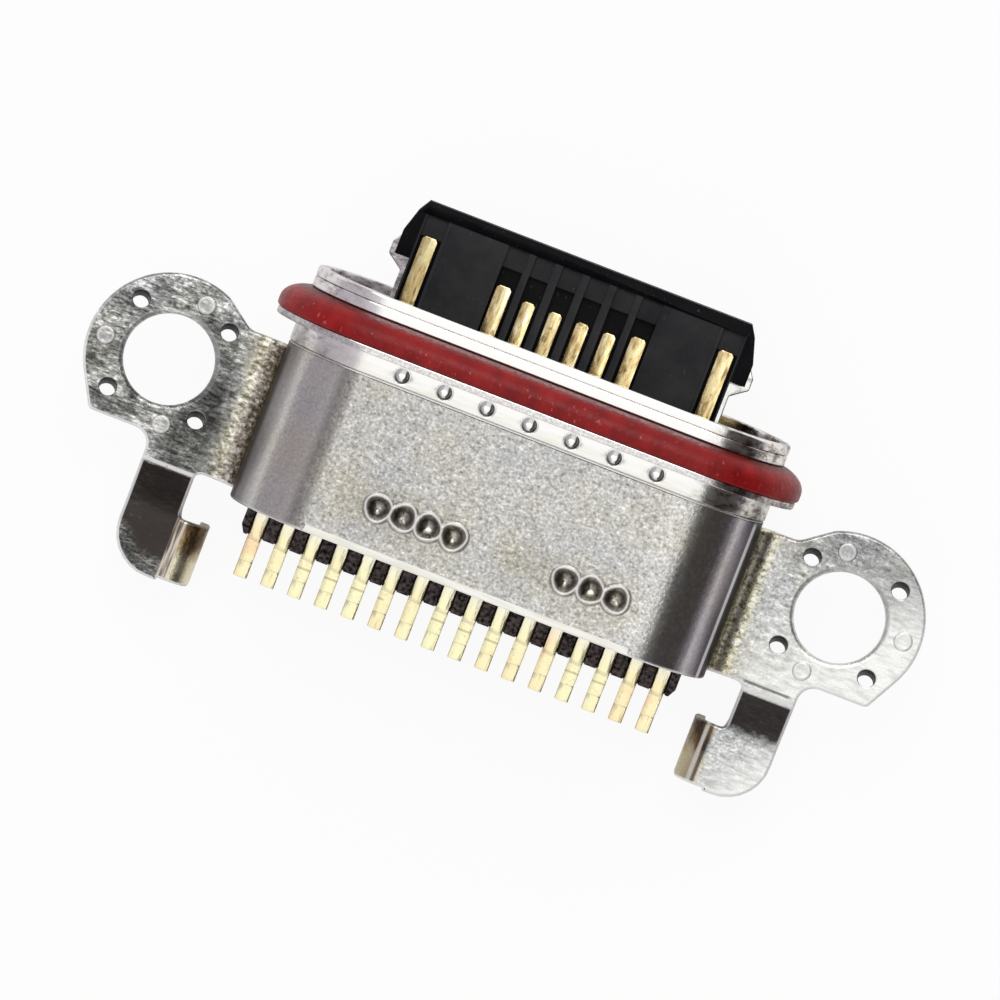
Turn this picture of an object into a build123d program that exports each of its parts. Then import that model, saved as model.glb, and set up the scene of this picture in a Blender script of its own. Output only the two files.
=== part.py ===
from build123d import *
import os

# Waterproof board charging port with a bare tongue, screw ears and solder feet.
# Axes: +X along the ears, -Y the way the tongue points, +Z up from the ears' upper face.
# Origin: midway between the two ear holes, in the middle plane of the tongue.
# All sizes in millimetres.

os.makedirs("parts", exist_ok=True)

# Contacts
pitch = 0.50                 # from one tail to the next, and along the tongue
blade_t = 0.12               # thickness of the contact strip
power_w = 0.29               # width of the long contacts: ground and power
signal_w = 0.25              # width of the short contacts
tail_w = 0.25                # width of each tail
ground_tip_y = -3.66         # front end of the outermost contacts
power_tip_y = -3.33          # front end of the power contacts
signal_tip_y = -3.22         # front end of the signal contacts
blade_sink = 0.02            # how far a contact lies below the tongue's face
tip_corner = 0.05            # cut corners of a contact's front end
jog_front_y = 0.30           # the contacts start to step sideways to their tails
jog_len = 0.90
drop_len = 0.22              # length over which a contact steps down to the tail level
tail_z = -0.56               # upper face of the tails where they leave the comb
tail_slope_start_y = 2.42    # the tails bend down here
tail_slope_end_y = 2.85      # and reach the board here
tail_end_y = 3.15
strip_bend_r = 0.05          # inside bend radius of the contact strip

# Tongue
tongue_t = 0.70
tongue_tip_y = -4.24
nose_len = 0.22              # length of the sloped nose
nose_drop = 0.15             # how much the nose slopes on each face
tip_half_w = 2.99            # half width of the straight front edge
wing_half_w = 3.25           # half width of the tongue at its widest
wing_front_y = -3.60         # the tongue has reached its full width here
wing_back_y = -3.19          # behind this the sides step in for the latches
waist_half_w = 2.98          # half width of the tongue behind the step
root_front_y = 0.0           # the tongue thickens here
root_half_w = 3.45
root_cover = 0.08            # plastic beside the wafers in the root
root_half_t = 0.62
slot_gap = 0.05              # beside each contact in its slot
pad_inner_x = 1.43           # the wide plain pads between the contact groups
pad_outer_x = 2.49
pad_depth = 0.16
pad_key_len = 0.25           # how far the pads run on into the root
front_step_len = 0.38        # shallow step at the front of each contact slot
front_step_depth = 0.05

# Middle plate
plate_t = 0.15
plate_front_y = -4.10
plate_back_y = 1.15
plate_tip_half_w = 2.87      # half width of the plate's front edge, inside the nose
plate_edge = 0.08            # how far the plate shows beside the tongue's waist
latch_half_w = 3.35          # half width at the latch shoulders
latch_len = 0.21             # straight part of each latch shoulder
latch_overhang = 0.05        # how far it reaches back past the wing
latch_ease = 0.06            # rounding of the plate's corners

# Base of the insulator
base_front_y = 0.70          # bottom of the plug cavity
wafer_back_gap = 0.04        # from the end of the sideways steps to the wafer's back
wafer_half_t = 0.45
wafer_rear_half_w = 3.95
base_len = 1.00
comb_len = 0.54              # how far the comb stands out behind the shell
comb_rise = 0.11             # how far the teeth stand above the tails
comb_floor = 0.32            # plastic under the tails
sealant_sink = 0.03          # the potting stops this far inside the shell
tail_gap = 0.02              # beside each tail between two teeth
comb_end_half_w = 3.96       # half width of the comb's rear end
comb_taper_len = 0.30        # length over which its sides run in
root_round = 0.20            # rounding of the root's long edges

# Shell: every ring of it is a stadium about the same two centres
centre_half = 2.90           # from the middle to the centre of each round end
collar_front_y = -2.51
collar_len = 0.18
collar_r = 1.485
collar_edge = 0.04           # broken front edge
mouth_r = 1.28               # opening for the plug
band_len = 0.20              # metal between the front collar and the seal
seat_r = 1.35                # seat of the seal
seal_len = 0.51
seal_r = 1.945
seal_nose_len = 0.36         # oval nose of the seal, along Y
seal_front_flat = 0.035      # straight part of its front, next to the bore
seal_rear_r = 0.06           # rounding of the seal's rear
flange_len = 0.13
flange_r = 1.90
neck_len = 0.36
neck_r = 1.515
sleeve_len = 2.96
sleeve_wall = 0.08
sleeve_bore_r = 1.24
fit_gap = 0.01               # between round surfaces that sit in each other

# Bracket
sheet_t = 0.18
ear_hole_x = 6.25            # half the distance between the screw holes
ear_hole_r = 0.80
ear_r = 1.50
ear_top_z = -0.40
ear_bend_r = 0.36            # inside radius where the wrap turns out into the ear
ear_neck_front_y = -0.98
ear_neck_back_y = 1.68
ear_back_y = 1.31            # straight rear edge of the ear
ear_corner_x = 1.00          # its corner, outward from the hole
side_inset = 0.01            # the wrap's sides stop this far before the shell's end
rim_show = 0.14              # the wrap's top stops this far before the shell's end
rim_notch_half_w = 3.02
die_roll = 0.07              # broken edge round the screw hole
neck_round = 0.50            # rounding between the ear's neck and its rim, in plan
leg_round = 0.30             # rounding between the ear's rear edge and the leg
notch_round = 0.13           # inner corners beside the leg
small_hole_r = 0.15
small_hole_step = 0.82       # from the screw hole's centre, both ways
disc_r = 0.165
disc_rise = 0.04
disc_side_x = 1.18           # outer disc, outward from the hole
disc_end_y = 1.11            # front and rear discs, along Y
disc_end_x = 0.28            # and toward the shell
leg_outer_x = 6.08
leg_w = 0.98
leg_bend_y = 1.74
foot_front_y = 2.52
foot_back_y = 3.73
foot_corner_r = 0.80
tab_in_x = 4.55              # inner face of the turned-down tab
tab_front_y = 2.57
tab_back_y = 3.68
tab_bend_r = 0.24            # inside radius of the tab's bend
leg_bend_r = 0.10
tab_depth = 0.90             # how far the tabs reach below the board's upper face

# Laser weld marks
weld_row_count = 7
weld_row_step = 0.785
weld_row_r = 0.13
weld_pit_depth = 0.04
weld_floor_share = 0.5       # radius of a pit's floor as a share of its rim
crater_y = 0.97
crater_step = 0.463
crater_r = 0.21
crater_depth = 0.06
crater_left_count = 4
crater_left_x = 0.53         # innermost pit of the group on the +X side
crater_right_count = 3
crater_right_x = -1.55       # innermost pit of the group on the -X side

# Places that follow from the sizes above
seam_y = collar_front_y + collar_len
seal_front_y = seam_y + band_len
flange_front_y = seal_front_y + seal_len
neck_front_y = flange_front_y + flange_len
sleeve_front_y = neck_front_y + neck_len
sleeve_back_y = sleeve_front_y + sleeve_len
sleeve_r = sleeve_bore_r + sleeve_wall
wrap_in_r = sleeve_r + fit_gap
wrap_r = wrap_in_r + sheet_t
wrap_half_w = centre_half + wrap_r
tongue_half_t = tongue_t / 2
plate_half_t = plate_t / 2
bed_front_y = tongue_tip_y + nose_len
blade_top_z = tongue_half_t - blade_sink
slot_floor_z = blade_top_z - blade_t
jog_back_y = jog_front_y + jog_len
wafer_back_y = jog_back_y + wafer_back_gap
drop_front_y = wafer_back_y + strip_bend_r + blade_t
base_back_y = base_front_y + base_len
comb_back_y = sleeve_back_y + comb_len
comb_top_z = tail_z + comb_rise
comb_bottom_z = tail_z - blade_t - comb_floor
board_z = -seal_r + tab_depth    # upper face of the board, under the feet and tails
foot_top_z = board_z + sheet_t
tab_tip_z = board_z - tab_depth  # the tabs reach as low as the seal
wrap_back_y = sleeve_back_y - side_inset
rim_y = sleeve_back_y - rim_show
neck_x = wrap_half_w + ear_bend_r
ear_bend_z = ear_top_z + ear_bend_r
ear_bottom_z = ear_top_z - sheet_t
leg_inner_x = leg_outer_x - leg_w
tab_bend_x = tab_in_x + sheet_t + tab_bend_r


def stadium_block(y_front, y_back, radius, mode=Mode.ADD):
    """A stadium section between two stations along Y."""
    with BuildSketch(Plane.XZ.offset(-y_front)) as section:
        SlotCenterToCenter(2 * centre_half, 2 * radius)
    extrude(section.sketch, amount=-(y_back - y_front), mode=mode)


def flat_block(x0, x1, y0, y1, z0, z1, mode=Mode.ADD):
    """A block between two corners."""
    with BuildSketch(Plane.XY.offset(z0)) as outline:
        with Locations(((x0 + x1) / 2, (y0 + y1) / 2)):
            Rectangle(x1 - x0, y1 - y0)
    extrude(outline.sketch, amount=z1 - z0, mode=mode)


def layer_block(row, x_half, y0, y1, depth0, depth1, mode=Mode.ADD):
    """A block across the tongue between two heights of its upper (+1) or lower (-1) half."""
    flat_block(-x_half, x_half, y0, y1, *sorted((row * depth0, row * depth1)), mode)


def pit_row(x_first, step, count, y, z, rim_r, depth):
    """A row of round weld pits sunk into a surface at height z."""
    places = [(x_first + i * step, y, z - depth) for i in range(count)]
    with Locations(*places):
        Cone(weld_floor_share * rim_r, rim_r, depth, align=(Align.CENTER, Align.CENTER, Align.MIN),
             mode=Mode.SUBTRACT)


# Steel parts
with BuildPart() as shell:
    stadium_block(seam_y, seal_front_y, collar_r)
    stadium_block(seal_front_y, flange_front_y, seat_r)
    stadium_block(flange_front_y, neck_front_y, flange_r)
    stadium_block(neck_front_y, sleeve_front_y, neck_r)
    stadium_block(sleeve_front_y, sleeve_back_y, sleeve_r)
    stadium_block(seam_y, sleeve_front_y, mouth_r, Mode.SUBTRACT)
    stadium_block(seam_y, sleeve_back_y, sleeve_bore_r, Mode.SUBTRACT)
    pit_row(-weld_row_step * (weld_row_count - 1) / 2, weld_row_step, weld_row_count,
            (neck_front_y + sleeve_front_y) / 2, neck_r, weld_row_r, weld_pit_depth)
shell.part.label = "shell"

with BuildPart() as front_collar:
    stadium_block(collar_front_y, seam_y, collar_r)
    chamfer(front_collar.faces().sort_by(Axis.Y)[0].edges(), collar_edge)
    stadium_block(collar_front_y, seam_y, mouth_r, Mode.SUBTRACT)
front_collar.part.label = "front_collar"

with BuildPart() as seal_ring:
    # a section with an oval nose, swept once round the shell
    seal_bore_r = seat_r + fit_gap
    with BuildLine(Plane.XZ) as seal_path:
        Line((0, seal_r), (centre_half, seal_r))
        CenterArc((centre_half, 0), seal_r, 90, -180)
        Line((centre_half, -seal_r), (-centre_half, -seal_r))
        CenterArc((-centre_half, 0), seal_r, 270, -180)
        Line((-centre_half, seal_r), (0, seal_r))
    with BuildSketch(Plane.YZ) as seal_section:
        with BuildLine():
            nose_y = seal_front_y + seal_nose_len
            nose_base_r = seal_bore_r + seal_front_flat
            rear_y = flange_front_y - seal_rear_r
            Line((seal_front_y, seal_bore_r), (seal_front_y, nose_base_r))
            EllipticalCenterArc((nose_y, nose_base_r), seal_nose_len, seal_r - nose_base_r, 90,
                                arc_size=90)
            Line((nose_y, seal_r), (rear_y, seal_r))
            CenterArc((rear_y, seal_r - seal_rear_r), seal_rear_r, 90, -90)
            Polyline((flange_front_y, seal_r - seal_rear_r), (flange_front_y, seal_bore_r),
                     (seal_front_y, seal_bore_r))
        make_face()
    sweep(seal_section.sketch, path=seal_path.wire())
seal_ring.part.label = "seal_ring"

with BuildPart() as mounting_bracket:
    # side view of the ear, the cranked leg and the foot, as wide as the ear
    with BuildSketch(Plane.YZ.offset(neck_x)):
        with BuildLine():
            outside_bend_r = leg_bend_r + sheet_t
            FilletPolyline((-ear_r, ear_top_z), (leg_bend_y, ear_top_z),
                           (foot_front_y, foot_top_z), (foot_back_y, foot_top_z),
                           radius=[outside_bend_r, leg_bend_r])
            offset(amount=sheet_t, side=Side.RIGHT, kind=Kind.INTERSECTION)
        make_face()
    extrude(amount=ear_hole_x + ear_r - neck_x)
    # plan view of the same, cut through it
    neck_corner_x = ear_hole_x - (ear_r**2 - ear_neck_front_y**2) ** 0.5
    with BuildSketch(Plane.XY) as ear_plan:
        with Locations((ear_hole_x, 0)):
            Circle(ear_r)
        with BuildLine():
            corner = Line((ear_hole_x, ear_back_y), (ear_hole_x + ear_corner_x, ear_back_y))
        make_hull(ear_plan.edges() + [corner])
        with Locations((ear_hole_x, ear_back_y)):
            Rectangle(2 * ear_r, ear_r, align=(Align.CENTER, Align.MIN), mode=Mode.SUBTRACT)
        with Locations((neck_x, ear_neck_front_y)):
            Rectangle(leg_outer_x - neck_x, ear_neck_back_y - ear_neck_front_y, align=Align.MIN)
        with Locations((leg_inner_x, 0)):
            Rectangle(leg_w, foot_back_y, align=Align.MIN)
        with Locations((tab_bend_x, tab_front_y)):
            Rectangle(leg_w, tab_back_y - tab_front_y, align=Align.MIN)
        rounded = [(neck_corner_x, ear_neck_front_y, neck_round), (leg_outer_x, ear_back_y, leg_round),
                   (ear_hole_x + ear_corner_x, ear_back_y, notch_round),
                   (leg_inner_x, ear_neck_back_y, notch_round),
                   (leg_outer_x, foot_back_y, foot_corner_r)]
        for x, y, round_r in rounded:
            fillet(ear_plan.vertices().sort_by_distance((x, y, 0))[0], radius=round_r)
    extrude(amount=2 * seal_r, both=True, mode=Mode.INTERSECT)
    # screw hole with its rolled edge, and the four small holes round it
    with BuildSketch(Plane.XY.offset(ear_bottom_z)):
        with Locations((ear_hole_x, 0)):
            Circle(ear_hole_r)
            with GridLocations(2 * small_hole_step, 2 * small_hole_step, 2, 2):
                Circle(small_hole_r)
    extrude(amount=sheet_t, mode=Mode.SUBTRACT)
    hole_rims = mounting_bracket.edges().filter_by(GeomType.CIRCLE).group_by(Axis.Z)[-1]
    chamfer(hole_rims.sort_by(lambda rim: rim.length)[-1], die_roll)
    # three half pierced discs: proud on top, sunk beneath
    disc_places = [(ear_hole_x + disc_side_x, 0), (ear_hole_x - disc_end_x, disc_end_y),
                   (ear_hole_x - disc_end_x, -disc_end_y)]
    with BuildSketch(Plane.XY.offset(ear_top_z)):
        with Locations(*disc_places):
            Circle(disc_r)
    extrude(amount=disc_rise)
    with BuildSketch(Plane.XY.offset(ear_bottom_z)):
        with Locations(*disc_places):
            Circle(disc_r)
    extrude(amount=disc_rise, mode=Mode.SUBTRACT)
    # solder tab, turned down from the foot's inner side
    with BuildSketch(Plane.XZ.offset(-tab_front_y)):
        with BuildLine():
            FilletPolyline((tab_in_x, tab_tip_z), (tab_in_x, foot_top_z),
                           (tab_bend_x + sheet_t, foot_top_z), radius=tab_bend_r + sheet_t)
            offset(amount=sheet_t, side=Side.RIGHT)
        make_face()
    extrude(amount=-(tab_back_y - tab_front_y))
    # bend between the ear and the shell's side
    with BuildSketch(Plane.XZ.offset(-ear_neck_front_y)):
        with BuildLine():
            CenterArc((neck_x, ear_bend_z), ear_bend_r, 180, 90)
            Line((neck_x, ear_top_z), (neck_x + sheet_t, ear_top_z))
            offset(amount=sheet_t, side=Side.RIGHT)
        make_face()
    extrude(amount=-(ear_neck_back_y - ear_neck_front_y))
    # half of the wrap over the shell
    with BuildSketch(Plane.XZ.offset(-sleeve_front_y)):
        with BuildLine():
            Line((0, wrap_r), (centre_half, wrap_r))
            CenterArc((centre_half, 0), wrap_r, 90, -90)
            Line((wrap_half_w, 0), (wrap_half_w, ear_bend_z))
            offset(amount=sheet_t, side=Side.RIGHT)
        make_face()
    extrude(amount=-(wrap_back_y - sleeve_front_y))
    mirror(about=Plane.YZ)
    # the top stops short of the shell's end, and carries two groups of weld pits
    flat_block(-rim_notch_half_w, rim_notch_half_w, rim_y, sleeve_back_y, 0, wrap_r, Mode.SUBTRACT)
    pit_row(crater_left_x, crater_step, crater_left_count, crater_y, wrap_r, crater_r, crater_depth)
    pit_row(crater_right_x, -crater_step, crater_right_count, crater_y, wrap_r, crater_r, crater_depth)
mounting_bracket.part.label = "mounting_bracket"


# Black insulator, contacts and middle plate
contact_nodes = []
# place on the tongue and place of the tail in pitches from the middle, and which row: +1 is the upper
contact_table = [
    ("contact_a1", -5.5, -7.5, 1),
    ("contact_b12", -5.5, -6.5, -1),
    ("contact_a4", -2.5, -5.5, 1),
    ("contact_b9", -2.5, -4.5, -1),
    ("contact_b8", -1.5, -3.5, -1),
    ("contact_a5", -1.5, -2.5, 1),
    ("contact_b7", -0.5, -1.5, -1),
    ("contact_a6", -0.5, -0.5, 1),
    ("contact_a7", 0.5, 0.5, 1),
    ("contact_b6", 0.5, 1.5, -1),
    ("contact_a8", 1.5, 2.5, 1),
    ("contact_b5", 1.5, 3.5, -1),
    ("contact_b4", 2.5, 4.5, -1),
    ("contact_a9", 2.5, 5.5, 1),
    ("contact_b1", 5.5, 6.5, -1),
    ("contact_a12", 5.5, 7.5, 1),
]


def tip_of(place):
    """Front end and width of the contact at this place on the tongue."""
    if abs(place) > 5:
        return ground_tip_y, power_w
    if abs(place) > 2:
        return power_tip_y, power_w
    return signal_tip_y, signal_w


for name, place, tail_place, row in contact_table:
    tip_y, width = tip_of(place)
    x = place * pitch
    tail_x = tail_place * pitch
    blade_z = slot_floor_z if row > 0 else -blade_top_z
    with BuildPart() as contact:
        # plan view: straight blade, then a slanting step to the tail's place
        with BuildSketch(Plane.XY.offset(blade_z)) as blade:
            with BuildLine():
                Polyline((x - width / 2, tip_y), (x + width / 2, tip_y),
                         (x + width / 2, jog_front_y), (tail_x + tail_w / 2, jog_back_y),
                         (tail_x + tail_w / 2, wafer_back_y), (tail_x - tail_w / 2, wafer_back_y),
                         (tail_x - tail_w / 2, jog_back_y), (x - width / 2, jog_front_y), close=True)
            make_face()
            chamfer(blade.vertices().group_by(Axis.Y)[0], tip_corner)
        extrude(amount=blade_t)
        # side view: down to the tail level, out through the comb and, with rounded bends, down to the board
        with BuildSketch(Plane.YZ.offset(tail_x - tail_w / 2)):
            with BuildLine():
                FilletPolyline((jog_back_y, blade_z + blade_t), (drop_front_y, blade_z + blade_t),
                               (drop_front_y + drop_len, tail_z), (tail_slope_start_y, tail_z),
                               (tail_slope_end_y, board_z + blade_t), (tail_end_y, board_z + blade_t),
                               radius=[0, 0, strip_bend_r + blade_t, strip_bend_r])
                offset(amount=blade_t, side=Side.RIGHT, kind=Kind.INTERSECTION)
            make_face()
        extrude(amount=tail_w)
    contact.part.label = name
    contact_nodes.append((contact.part, place, tail_place, row))

with BuildPart() as mid_plate:
    # plan view of one half: its edge slopes out to a latch shoulder and back in behind it
    edge_x = waist_half_w + plate_edge
    latch_back_y = wing_back_y + latch_overhang
    with BuildSketch(Plane.XY.offset(-plate_half_t)) as plate_plan:
        with BuildLine():
            Polyline((0, plate_front_y), (plate_tip_half_w, plate_front_y),
                     (latch_half_w, latch_back_y - latch_len), (latch_half_w, latch_back_y),
                     (edge_x, latch_back_y + latch_len), (edge_x, plate_back_y),
                     (0, plate_back_y), close=True)
        make_face()
        mirror(about=Plane.YZ)
        fillet(plate_plan.vertices().group_by(Axis.X)[0], radius=latch_ease)
        fillet(plate_plan.vertices().group_by(Axis.X)[-1], radius=latch_ease)
    extrude(amount=plate_t)
mid_plate.part.label = "mid_plate"

wafer_nodes = []
root_wafer_half_w = root_half_w - root_cover
for name, wafer_row in (("upper_wafer", 1), ("lower_wafer", -1)):
    with BuildPart() as wafer:
        layer_block(wafer_row, waist_half_w, bed_front_y, root_front_y, plate_half_t, tongue_half_t)
        layer_block(wafer_row, root_wafer_half_w, root_front_y, base_front_y, plate_half_t, wafer_half_t)
        layer_block(wafer_row, wafer_rear_half_w, base_front_y, wafer_back_y, plate_half_t, wafer_half_t)
        # channels for the pads
        pad_z = sorted((wafer_row * (tongue_half_t - pad_depth), wafer_row * wafer_half_t))
        for side in (-1, 1):
            pad_x = sorted((side * pad_inner_x, side * pad_outer_x))
            flat_block(*pad_x, bed_front_y, root_front_y + pad_key_len, *pad_z, Mode.SUBTRACT)
        # a slot along each contact, with a shallow step at its front
        step_z = sorted((wafer_row * (tongue_half_t - front_step_depth), wafer_row * tongue_half_t))
        slot_z = sorted((wafer_row * slot_floor_z, wafer_row * tongue_half_t))
        for solid, place, tail_place, row in contact_nodes:
            if row == wafer_row:
                slot_half = tip_of(place)[1] / 2 + slot_gap
                slot_x = (place * pitch - slot_half, place * pitch + slot_half)
                flat_block(*slot_x, bed_front_y, root_front_y, *step_z, Mode.SUBTRACT)
                flat_block(*slot_x, bed_front_y + front_step_len, root_front_y, *slot_z, Mode.SUBTRACT)
                add(solid, mode=Mode.SUBTRACT)
    wafer.part.label = name
    wafer_nodes.append(wafer.part)

base_r = sleeve_bore_r - fit_gap
sealant_back_y = sleeve_back_y - sealant_sink
with BuildPart() as housing:
    # nose and wings of the tongue: side view first
    with BuildSketch(Plane.YZ.offset(-wing_half_w)):
        with BuildLine():
            Polyline((tongue_tip_y, tongue_half_t - nose_drop), (bed_front_y, tongue_half_t),
                     (wing_back_y, tongue_half_t), (wing_back_y, -tongue_half_t),
                     (bed_front_y, -tongue_half_t), (tongue_tip_y, nose_drop - tongue_half_t), close=True)
        make_face()
    extrude(amount=2 * wing_half_w)
    # then the plan view, cut through it
    with BuildSketch(Plane.XY):
        with BuildLine():
            Polyline((0, tongue_tip_y), (tip_half_w, tongue_tip_y),
                     ((tip_half_w + wing_half_w) / 2, bed_front_y), (wing_half_w, wing_front_y),
                     (wing_half_w, wing_back_y), (0, wing_back_y), close=True)
        make_face()
        mirror(about=Plane.YZ)
    extrude(amount=tongue_t, both=True, mode=Mode.INTERSECT)
    flat_block(-waist_half_w, waist_half_w, bed_front_y, wing_back_y, -tongue_half_t, tongue_half_t,
               Mode.SUBTRACT)
    # root and base block
    with BuildSketch(Plane.XZ.offset(-root_front_y)):
        RectangleRounded(2 * root_half_w, 2 * root_half_t, root_round)
    extrude(amount=-(base_front_y - root_front_y))
    stadium_block(base_front_y, comb_back_y, base_r)
    # the comb: low teeth behind the base, narrower at the end
    flat_block(-wrap_half_w, wrap_half_w, base_back_y, comb_back_y, comb_top_z, base_r, Mode.SUBTRACT)
    flat_block(-wrap_half_w, wrap_half_w, sleeve_back_y, comb_back_y, -base_r, comb_bottom_z,
               Mode.SUBTRACT)
    with BuildSketch(Plane.XY.offset(-base_r)):
        with BuildLine():
            Polyline((comb_end_half_w, comb_back_y), (centre_half + base_r, comb_back_y - comb_taper_len),
                     (centre_half + base_r, comb_back_y), close=True)
        make_face()
        mirror(about=Plane.YZ)
    extrude(amount=base_r, mode=Mode.SUBTRACT)
    # room for the two wafers, the plate and the contacts
    for row in (-1, 1):
        layer_block(row, root_wafer_half_w, root_front_y, base_front_y, plate_half_t, wafer_half_t,
                    Mode.SUBTRACT)
        layer_block(row, wafer_rear_half_w, base_front_y, wafer_back_y, plate_half_t, wafer_half_t,
                    Mode.SUBTRACT)
    # pads on both faces, which join the nose to the root
    for row in (-1, 1):
        pad_z = sorted((row * (tongue_half_t - pad_depth), row * tongue_half_t))
        key_z = sorted((row * (tongue_half_t - pad_depth), row * wafer_half_t))
        for side in (-1, 1):
            pad_x = sorted((side * pad_inner_x, side * pad_outer_x))
            flat_block(*pad_x, bed_front_y, root_front_y, *pad_z)
            flat_block(*pad_x, root_front_y, root_front_y + pad_key_len, *key_z)
    add(mid_plate.part, mode=Mode.SUBTRACT)
    for solid, place, tail_place, row in contact_nodes:
        slot_half = tail_w / 2 + tail_gap
        flat_block(tail_place * pitch - slot_half, tail_place * pitch + slot_half, sealant_back_y,
                   comb_back_y, tail_z - blade_t, comb_top_z, Mode.SUBTRACT)
        add(solid, mode=Mode.SUBTRACT)
housing.part.label = "housing"

with BuildPart() as rear_sealant:
    stadium_block(base_back_y, sealant_back_y, base_r)
    flat_block(-wrap_half_w, wrap_half_w, base_back_y, sealant_back_y, -base_r, comb_top_z,
               Mode.SUBTRACT)
rear_sealant.part.label = "rear_sealant"

nodes = [node.part for node in (shell, front_collar, seal_ring, mounting_bracket, mid_plate, housing,
                                rear_sealant)]
nodes += wafer_nodes
nodes += [solid for solid, place, tail_place, row in contact_nodes]
for node in nodes:
    export_step(node, f"parts/{node.label}.step")
    print(node.label, round(node.volume, 4), len(node.solids()), node.is_valid)
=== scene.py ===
# %% [markdown]
# A waterproof charging port for a circuit board: a black tongue with gold contacts, a drawn steel shell,
# a red silicone seal, a plated steel bracket with two screw ears, and a comb of solder tails. The packed
# solids give every place and size. What follows dresses them: rounded edges, die roll, weld marks and the
# finish of each surface. The script is read from top to bottom, one step to a cell.

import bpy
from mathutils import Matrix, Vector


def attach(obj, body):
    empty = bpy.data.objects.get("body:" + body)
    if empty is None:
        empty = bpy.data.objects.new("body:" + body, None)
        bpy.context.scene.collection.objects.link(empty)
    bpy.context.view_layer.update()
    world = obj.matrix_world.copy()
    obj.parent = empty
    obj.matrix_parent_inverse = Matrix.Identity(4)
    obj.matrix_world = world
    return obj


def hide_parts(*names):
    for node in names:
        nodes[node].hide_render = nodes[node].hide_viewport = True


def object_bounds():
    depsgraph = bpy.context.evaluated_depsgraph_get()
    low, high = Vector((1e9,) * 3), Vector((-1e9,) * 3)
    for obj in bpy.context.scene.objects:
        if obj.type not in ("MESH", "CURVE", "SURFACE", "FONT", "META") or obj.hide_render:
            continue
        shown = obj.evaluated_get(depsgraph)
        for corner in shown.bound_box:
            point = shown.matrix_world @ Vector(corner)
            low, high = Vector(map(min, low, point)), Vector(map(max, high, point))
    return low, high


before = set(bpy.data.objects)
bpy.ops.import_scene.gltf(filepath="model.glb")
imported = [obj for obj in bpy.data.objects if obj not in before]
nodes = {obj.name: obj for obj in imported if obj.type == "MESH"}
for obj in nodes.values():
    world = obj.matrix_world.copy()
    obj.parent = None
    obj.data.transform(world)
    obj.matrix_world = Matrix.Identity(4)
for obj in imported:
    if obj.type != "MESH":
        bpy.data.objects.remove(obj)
solid_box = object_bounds()
print("packed solids:", len(nodes))

# %% Modules and the unit
from math import acos, asin, atan2, cos, degrees, exp, hypot, pi, radians, sin, tan

import bmesh
import bpy
from mathutils import Matrix, Vector

MM = 0.001
scene = bpy.context.scene

# %% [markdown]
# The photograph looks down on the port from high above, leaning a few degrees toward the tongue, and the
# port is turned in the picture. Almost no perspective shows, so the camera stands far off with a long
# lens. Its three axes are built as vectors, which is easier to read than three Euler angles.

# %% Camera
lean_forward = radians(4.18)          # from straight above toward the tongue
lean_side = radians(0.30)             # and toward +X
turn_in_picture = radians(21.1)
camera_distance = 300 * MM
picture_width = 1000 / 57.58 * MM     # what the picture's width covers at the port
aim = Vector((0, 0.19 * MM, 0))

to_camera = Vector((sin(lean_side), 0, cos(lean_side)))
to_camera = Vector((to_camera.x, -sin(lean_forward) * to_camera.z, cos(lean_forward) * to_camera.z))
level_right = Vector((0, -1, 0)).cross(to_camera).normalized()
level_up = to_camera.cross(level_right)
camera_data = bpy.data.cameras.new("camera")
camera_data.sensor_width = 36
camera_data.lens = camera_data.sensor_width * camera_distance / picture_width
camera_data.clip_start = 10 * MM
camera = bpy.data.objects.new("camera", camera_data)
camera_axes = Matrix((level_right, level_up, to_camera)).transposed()
camera_turn = camera_axes @ Matrix.Rotation(turn_in_picture, 3, "Z")
camera.matrix_world = Matrix.Translation(aim + to_camera * camera_distance) @ camera_turn.to_4x4()
scene.collection.objects.link(camera)
scene.camera = camera
scene.view_settings.view_transform = "Standard"
print("lens of", round(camera_data.lens), "mm")

# %% [markdown]
# The room round the port and every finish on it are trees of shader nodes. They could be laid out by hand
# in the node editor. A few helpers that place a node and join its inputs do the same in one line each,
# and the numbers stay readable.

# %% Node helpers
def as_colour(value):
    """A colour as three numbers. One number alone stands for a grey."""
    return value if isinstance(value, tuple) else (value, value, value)


def feed(value, socket):
    """Gives an input another node's output, a number or a colour."""
    if isinstance(value, bpy.types.NodeSocket):
        socket.id_data.links.new(value, socket)
    elif socket.type == "RGBA":
        socket.default_value = (*as_colour(value), 1)
    else:
        socket.default_value = value


def new_node(kind, *values):
    """A node of a kind, in the tree of the first output among the values."""
    tree = next(value.id_data for value in values if isinstance(value, bpy.types.NodeSocket))
    return tree.nodes.new("ShaderNode" + kind)


def math_node(operation, *values):
    """A Math node. Returns its value."""
    node = new_node("Math", *values)
    node.operation = operation
    for socket, value in zip(node.inputs, values):
        feed(value, socket)
    return node.outputs[0]


def times(first, *others):
    """The product of several values."""
    for other in others:
        first = math_node("MULTIPLY", first, other)
    return first


def range_node(value, low, high, to_low=0.0, to_high=1.0):
    """Map Range from low..high to another range, clamped. Returns its value."""
    node = new_node("MapRange", value)
    for socket, given in zip(node.inputs, (value, low, high, to_low, to_high)):
        feed(given, socket)
    return node.outputs["Result"]


def band(value, low, full, last, high):
    """1 where a value lies between full and last, falling to 0 at low and at high."""
    return times(range_node(value, low, full), range_node(value, high, last))


def between(share, at_none, at_full):
    """A value that goes from at_none to at_full as a share goes from 0 to 1."""
    return range_node(share, 0, 1, at_none, at_full)


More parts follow.
